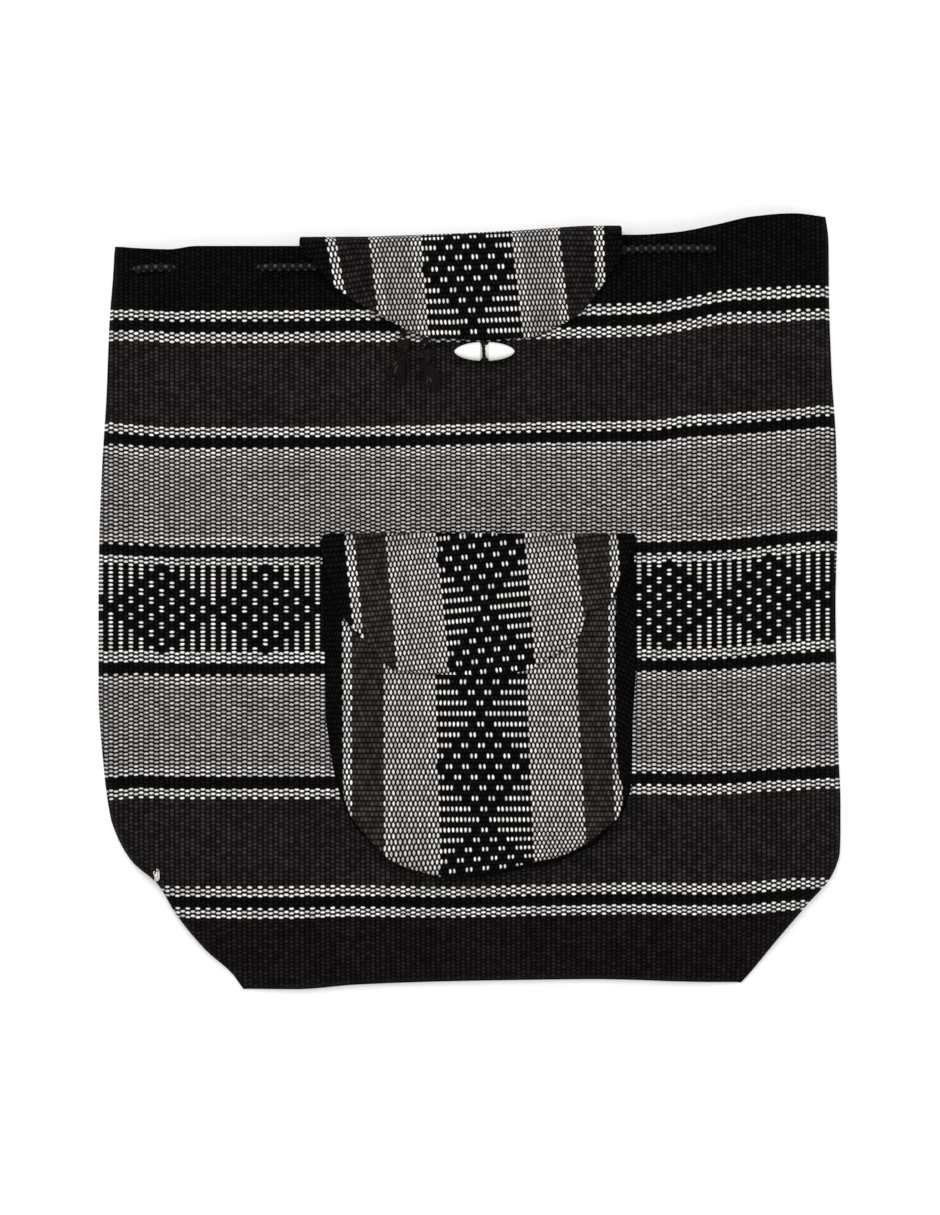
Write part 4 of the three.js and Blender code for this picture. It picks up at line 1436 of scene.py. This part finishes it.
@dataclass
class Pocket:
    """The patch pocket: front, gusset and flap."""

    shape: BagShape
    finishes: Finishes
    width: float = 173
    height: float = 187.5
    left: float = -80.7
    top: float = 36.3
    depth: float = 5.6
    belly: float = 3.2
    turn: float = 14
    lip: float = 10
    flap_width: float = 171.5
    flap_left: float = -80.6
    flap_drop: float = 76.5
    gusset_pick: float = 20
    gusset_cloth: float = 11
    pick_pitch: float = 1.13
    rib_pitch: float = 2.83
    station_columns: int = 8

    def front_z(self, x: Array, y: Array, side: Array, foot: Array, inset: float) -> Array:
        """Gives the height of the pocket's front."""
        s = self.shape
        seam = s.front_at(x, y) + s.gap + self.depth + s.gap
        reach = self.turn - inset
        return seam + (self.belly + s.cloth - inset) * rounded(side, reach) * rounded(foot, reach)

    def front(self) -> bpy.types.Object:
        """Builds the pocket's front."""
        s = self.shape
        left_edge, right_edge = side_curves(POCKET_SIDES)
        mouth = 1 - self.lip / self.height
        base = self.top - self.height

        def place(u: Array, v: Array, depth: float) -> tuple[Array, Array, Array]:
            """Gives the point at shares across and up, this deep in the wall."""
            up = v * mouth
            left = self.left + left_edge(up) * self.width + depth
            right = self.left + (1 - right_edge(up)) * self.width - depth
            x = lerp(left, right, u)
            plain = base + up * self.height
            y = np.maximum(plain, base + depth * (1 - v))
            side = np.minimum(u, 1 - u) * (right - left)
            return x, y, self.front_z(x, y, side, plain - base, depth)

        def weave(u: Array, v: Array, x: Array, y: Array, z: Array) -> tuple[Array, Array]:
            """Gives the picks and ribs at the wall's points."""
            # The lowest ribs climb to the right
            lift = 10 * PX * (x - across_px(440)) / (95 * PX) * smooth(up_px(820) - y, 0, 57 * PX)
            return POCKET_WEAVE.picks(x, y), POCKET_WEAVE.ribs(x, y - lift)

        wall = ClothWall(
            "woven_pocket", 72, 330, s.cloth, place, weave, lambda t: close_at_ends(t, 0.6),
            lambda t: lerp(t * t, t, 0.6), seams=("left", "right", "bottom"), relief=RIB_RELIEF,
        )
        return wall.build(self.finishes.pocket)

    def gusset(self) -> bpy.types.Object:
        """Builds the strip round the pocket's sides and bottom."""
        s = self.shape
        mouth = 1 - self.lip / self.height
        rows = [row for row in POCKET_SIDES if row.up < 1] + [POCKET_SIDES[-1]._replace(up=mouth)]
        stations = [(row.up, row.left, row.foot_left) for row in reversed(rows)]
        stations += [(row.up, 1 - row.right, 1 - row.foot_right) for row in rows]
        table = np.array(stations)
        base = self.top - self.height
        top = np.stack([self.left + table[:, 1] * self.width, base + table[:, 0] * self.height], axis=1)
        foot = np.stack([self.left + table[:, 2] * self.width, base + table[:, 0] * self.height], axis=1)
        index = np.arange(len(table))

        def run(line: Array, at: Array) -> Array:
            """Gives a line's points at places along its stations."""
            return np.stack([np.interp(at, index, line[:, k]) for k in (0, 1)], axis=-1)

        def place(u: Array, v: Array, depth: float) -> tuple[Array, Array, Array]:
            """Gives the point at shares across and up, this deep in the wall."""
            at = u * (len(table) - 1)
            before = np.clip(at - 0.5, 0, index[-1])
            after = np.clip(at + 0.5, 0, index[-1])
            along = run(foot, after) - run(foot, before)
            along /= np.linalg.norm(along, axis=-1, keepdims=True)
            x, y = np.moveaxis(lerp(run(foot, at), run(top, at), v[..., None]), -1, 0)
            x, y = x - along[..., 1] * depth, y + along[..., 0] * depth
            swell = 1 + 0.25 * np.sin(np.pi * v)
            return x, y, s.front_at(x, y) + s.gap + self.depth * v * swell

        def weave(u: Array, v: Array, x: Array, y: Array, z: Array) -> tuple[Array, Array]:
            """Gives the picks and ribs at the wall's points."""
            steps_along = np.hypot(np.diff(x, axis=1), np.diff(y, axis=1))
            far = np.hstack([np.zeros((x.shape[0], 1)), np.cumsum(steps_along, axis=1)])
            return self.gusset_pick + v * self.gusset_cloth / self.pick_pitch, far / self.rib_pitch

        columns = (len(table) - 1) * self.station_columns
        wall = ClothWall("pocket_side", columns, 10, s.cloth, place, weave, bulge=0.2)
        return wall.build(self.finishes.black)

    def flap(self) -> bpy.types.Object:
        """Builds the pocket's flap."""
        s = self.shape
        left_edge, right_edge = side_curves(POCKET_FLAP_SIDES)
        seam = self.top + s.gap

        def place(u: Array, v: Array, depth: float) -> tuple[Array, Array, Array]:
            """Gives the point at shares across and up, this deep in the wall."""
            x = self.flap_left + lerp(left_edge(v), 1 - right_edge(v), u) * self.flap_width
            y = seam - self.flap_drop * (1 - v) + 0 * u
            on = self.depth + self.belly + s.cloth + 2 * s.gap
            climb = smooth(seam - y, 0, self.lip - s.cloth)
            return x, y, s.front_at(x, y) + lerp(s.gap, on + s.hang, climb) + s.cloth - depth

        def weave(u: Array, v: Array, x: Array, y: Array, z: Array) -> tuple[Array, Array]:
            """Gives the picks and ribs at the wall's points."""
            return POCKET_FLAP_WEAVE.picks(x, y), POCKET_FLAP_WEAVE.ribs(x, y)

        wall = ClothWall(
            "woven_pocket_flap", 96, 150, s.cloth, place, weave, spread_up=lambda t: close_at_ends(t, 0.5),
            bulge=0.9, relief=RIB_RELIEF,
        )
        return wall.build(self.finishes.pocket)

    def build(self) -> None:
        front, gusset, flap = self.front(), self.gusset(), self.flap()
        finish_piece(front, "banded_cloth", "pocket_front")
        finish_piece(gusset, "black_cloth", "pocket_gusset")
        finish_piece(flap, "banded_cloth", "pocket_flap")
        LOG.info("pocket: front %d, flap %d faces", len(front.data.polygons), len(flap.data.polygons))


@dataclass
class Cords:
    """The drawstring and its two free ends."""

    shape: BagShape
    finishes: Finishes

    def drawstring(self) -> None:
        """Builds the drawstring that the bag holds."""
        route = np.array([(x, y, self.shape.cord_height(x, y, lies)) for x, y, lies in DRAWSTRING_ROUTE])
        made = BraidedCord("braided_drawstring", route, self.shape.cord_radius).build(self.finishes.cord)
        finish_piece(made, "black_cord", "drawstring")
        LOG.info("drawstring: %d faces", len(made.data.polygons))

    def tail(self, side: str) -> tuple[bpy.types.Object, Array]:
        """Builds one free end.

        Args:
            side: left or right.

        Returns:
            The cord and its line, in millimetres.
        """
        route = np.array([(x, y, self.shape.cord_height(x, y, "over")) for x, y in TAIL_ROUTES[side]])
        cord = BraidedCord(side + "_cord_end", route, self.shape.cord_radius)
        return cord.build(self.finishes.cord), spline(route, 40)


@dataclass
class Tassel:
    """A knot with a fringe of loose yarn."""

    shape: BagShape
    finishes: Finishes
    side: str
    knot: float = 4.4
    knot_reach: float = 0.95
    knot_radius: float = 1.7
    strands: int = 60
    # How many strands are only short grey bits of painted highlight
    grey: int = 7
    seed: int = 5

    def build(self, yarn: YarnNodes) -> bpy.types.Object:
        """Builds the tassel.

        Args:
            yarn: the tree that makes the strands.

        Returns:
            The object.
        """
        s = self.shape
        x, y, (lean, fall) = KNOTS[self.side]
        z = float(s.front_at(x, y)) + s.cord_gap + self.knot * 0.8
        t = np.linspace(0, 2 * np.pi, 60)
        trefoil = [np.sin(t) + 2 * np.sin(2 * t), np.cos(t) - 2 * np.cos(2 * t), -1.25 * np.sin(3 * t)]
        line = np.stack(trefoil, axis=1) * self.knot_reach + (x, y, z)
        turns = BraidedCord(self.side + " knot", line, self.knot_radius, sides=14, step=0.45, relief=0.3)
        tied = turns.build(self.finishes.thread)
        rng = np.random.default_rng(self.seed + len(self.side))
        lines = []
        for _ in range(self.strands):
            spread = rng.normal(0, 1, 2)
            tip_x = x + lean + spread[0] * 3.6
            tip_y = y + fall * rng.uniform(0.62, 1.12) + abs(spread[0]) * 0.6
            tip_z = float(s.front_at(tip_x, tip_y)) + rng.uniform(0.25, 1.6)
            start = np.array([x + rng.normal(0, 1.1), y - 2.2, z - 0.6 + rng.normal(0, 0.9)])
            share = np.linspace(0, 1, 9)[:, None]
            path = lerp(start, np.array([tip_x, tip_y, tip_z]), share)
            path[:, 2] = lerp(start[2], tip_z, share[:, 0] ** 0.55)
            wave = np.sin(share[:, 0] * rng.uniform(3, 8) + rng.uniform(0, 6))
            curl = wave * rng.uniform(0.3, 2.0) * share[:, 0]
            path[:, 0] += curl
            path[:, 1] += curl * 0.3
            lines.append(path)
        fringe = yarn.spin(self.side + " fringe", lines[self.grey :], 0.36, 0.35, 5, self.finishes.thread)
        # Painted highlights: the first few strands are only short grey bits, which stand in for glints on
        # the fringe
        highlight_specks = [line[4:7] for line in lines[: self.grey]]
        pale = yarn.spin(self.side + " highlight speck fringe", highlight_specks, 0.3, 0.4, 5, self.finishes.highlight_speck_yarn)
        return joined(self.side + "_knot_and_fringe", [tied, fringe, pale])


@dataclass
class Tuft:
    """White yarn that has frayed out of the left seam."""

    shape: BagShape
    finishes: Finishes
    strands: int = 12
    seed: int = 11

    def build(self, yarn: YarnNodes) -> None:
        """Builds the tuft.

        Args:
            yarn: the tree that makes the strands.
        """
        rng = np.random.default_rng(self.seed)
        lines = []
        for _ in range(self.strands):
            x, y = across_px(157 + rng.normal(0, 1.2)), up_px(rng.uniform(873, 883))
            share = np.linspace(0, 1, 8)
            turn = rng.uniform(0.6, 2.2) * np.pi * share + rng.uniform(0, 6)
            path = np.stack([x + 0.9 * np.cos(turn), y + 1.6 * np.sin(turn) + 2 * share, 0 * share], axis=1)
            path[:, 2] = self.shape.front_at(path[:, 0], path[:, 1]) + 0.2 + 0.9 * np.sin(np.pi * share)
            lines.append(path)
        made = yarn.spin("frayed_tuft", lines, 0.22, 0.5, 5, self.finishes.white_yarn)
        finish_piece(made, "banded_cloth")
        LOG.info("frayed tuft: %d faces", len(made.data.polygons))


@dataclass
class Toggle:
    """The white spindle and the cord loop round its waist."""

    shape: BagShape
    finishes: Finishes
    length: float = 33
    radius: float = 5.2
    waist: float = 3.6
    groove: float = 4.2
    x: float = 8.5
    loop_radius: float = 1.1
    loop_ease: float = 0.2
    loop_spread: float = 1.3
    loop_lean: float = 0.8
    below: float = 2
    belly: float = 2.1
    tips: float = 1.15
    sides: int = 48

    def build(self) -> None:
        """Builds the toggle and its loop."""
        s = self.shape
        y = s.flap_hem() - self.below - self.radius
        turn = self.waist + self.loop_ease + self.loop_radius
        z = float(s.front_at(self.x, y)) + s.gap + self.loop_radius + turn
        half = self.length / 2
        at = np.sin(np.linspace(-np.pi / 2, np.pi / 2, 81)) * half
        spindle = self.radius * np.sqrt(np.clip(1 - np.abs(at / half) ** self.belly, 0, 1)) ** self.tips
        dip = 1 - smooth(np.abs(at), self.groove / 2 - 0.5, self.groove / 2 + 0.3)
        reach = lerp(spindle, self.waist, dip)
        sides = self.sides
        around = np.linspace(0, 2 * np.pi, sides, endpoint=False)
        points = [(self.x - half, y, z)]
        for place, r in zip(at[1:-1], reach[1:-1]):
            points += [(self.x + place, y + r * math.cos(a), z + r * math.sin(a)) for a in around]
        points.append((self.x + half, y, z))
        rings = len(at) - 2
        faces: list[tuple[int, ...]] = []
        for i in range(sides):
            k = (i + 1) % sides
            faces.append((0, 1 + k, 1 + i))
            for j in range(rings - 1):
                a, b = 1 + j * sides, 1 + (j + 1) * sides
                faces.append((a + i, a + k, b + k, b + i))
            a = 1 + (rings - 1) * sides
            faces.append((a + i, a + k, len(points) - 1))
        made = mesh_object("white_spindle", np.array(points), faces, self.finishes.toggle)
        finish_piece(made, "white_toggle", "toggle")
        root = s.flap_hem() - s.gap - self.loop_radius
        start = float(s.front_at(self.x, root)) + s.hang + s.cloth / 2
        route = [(self.x - self.loop_spread, root, start)]
        for i in range(10):
            a = lerp(0.1, 1.78, i / 9) * math.pi
            x = self.x + lerp(-self.loop_lean, self.loop_lean, i / 9)
            route.append((x, y + turn * math.cos(a), z + turn * math.sin(a)))
        route.append((self.x + self.loop_spread, root, start))
        loop = BraidedCord(
            "toggle_cord", np.array(route), self.loop_radius, sides=16, step=0.3, relief=0.3, lay=5
        )
        cord = loop.build(self.finishes.thread)
        finish_piece(cord, "black_cord", "toggle_loop")
        LOG.info("toggle and loop: %d and %d faces", len(made.data.polygons), len(cord.data.polygons))


@dataclass
class Straps:
    """The two shoulder straps behind the bag."""

    shape: BagShape
    finishes: Finishes
    points: int = 161
    pick_pitch: float = 0.9
    rib_pitch: float = 2.4

    def build(self) -> None:
        s = self.shape
        for side, name in ((-1, "left_strap"), (1, "right_strap")):
            line = s.strap_line(side, self.points)
            along = np.gradient(line, axis=0)
            along /= np.linalg.norm(along, axis=1, keepdims=True)
            share = np.linspace(0, 1, self.points)

            def place(u: Array, v: Array, depth: float) -> tuple[Array, Array, Array]:
                """Gives the point at shares across and up, this deep in the wall."""
                off = (u - 0.5) * s.strap_width
                x = np.interp(v, share, line[:, 0]) - np.interp(v, share, along[:, 1]) * off
                y = np.interp(v, share, line[:, 1]) + np.interp(v, share, along[:, 0]) * off
                return x, y, depth + 0 * u

            def weave(u: Array, v: Array, x: Array, y: Array, z: Array) -> tuple[Array, Array]:
                """Gives the picks and ribs at the wall's points."""
                length = np.linalg.norm(np.diff(line, axis=0), axis=1).sum()
                return v * length / self.pick_pitch, u * s.strap_width / self.rib_pitch

            wall = ClothWall("woven_" + name, 16, 160, s.strap_thickness, place, weave, bulge=0.0)
            made = wall.build(self.finishes.black)
            finish_piece(made, "black_cloth", name)
        LOG.info("straps: two")


def main() -> None:
    """Builds the scene, piece by piece."""
    logging.basicConfig(level=logging.INFO, format="%(name)s: %(message)s")
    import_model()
    studio = Studio()
    studio.camera()
    shape = BagShape()
    finishes = Finishes()
    yarn = YarnNodes()
    cords = Cords(shape, finishes)
    for side in ("left", "right"):
        tail, line = cords.tail(side)
        tassel = Tassel(shape, finishes, side).build(yarn)
        finish_piece(tail, "black_cord", side + "_tail")
        finish_piece(tassel, "black_cord", side + "_tassel")
    cords.drawstring()
    BagBody(shape, finishes).build()
    MainFlap(shape, finishes).build()
    Pocket(shape, finishes).build()
    Toggle(shape, finishes).build()
    Tuft(shape, finishes).build(yarn)
    Straps(shape, finishes).build()
    studio.light()


if __name__ == "__main__":
    main()
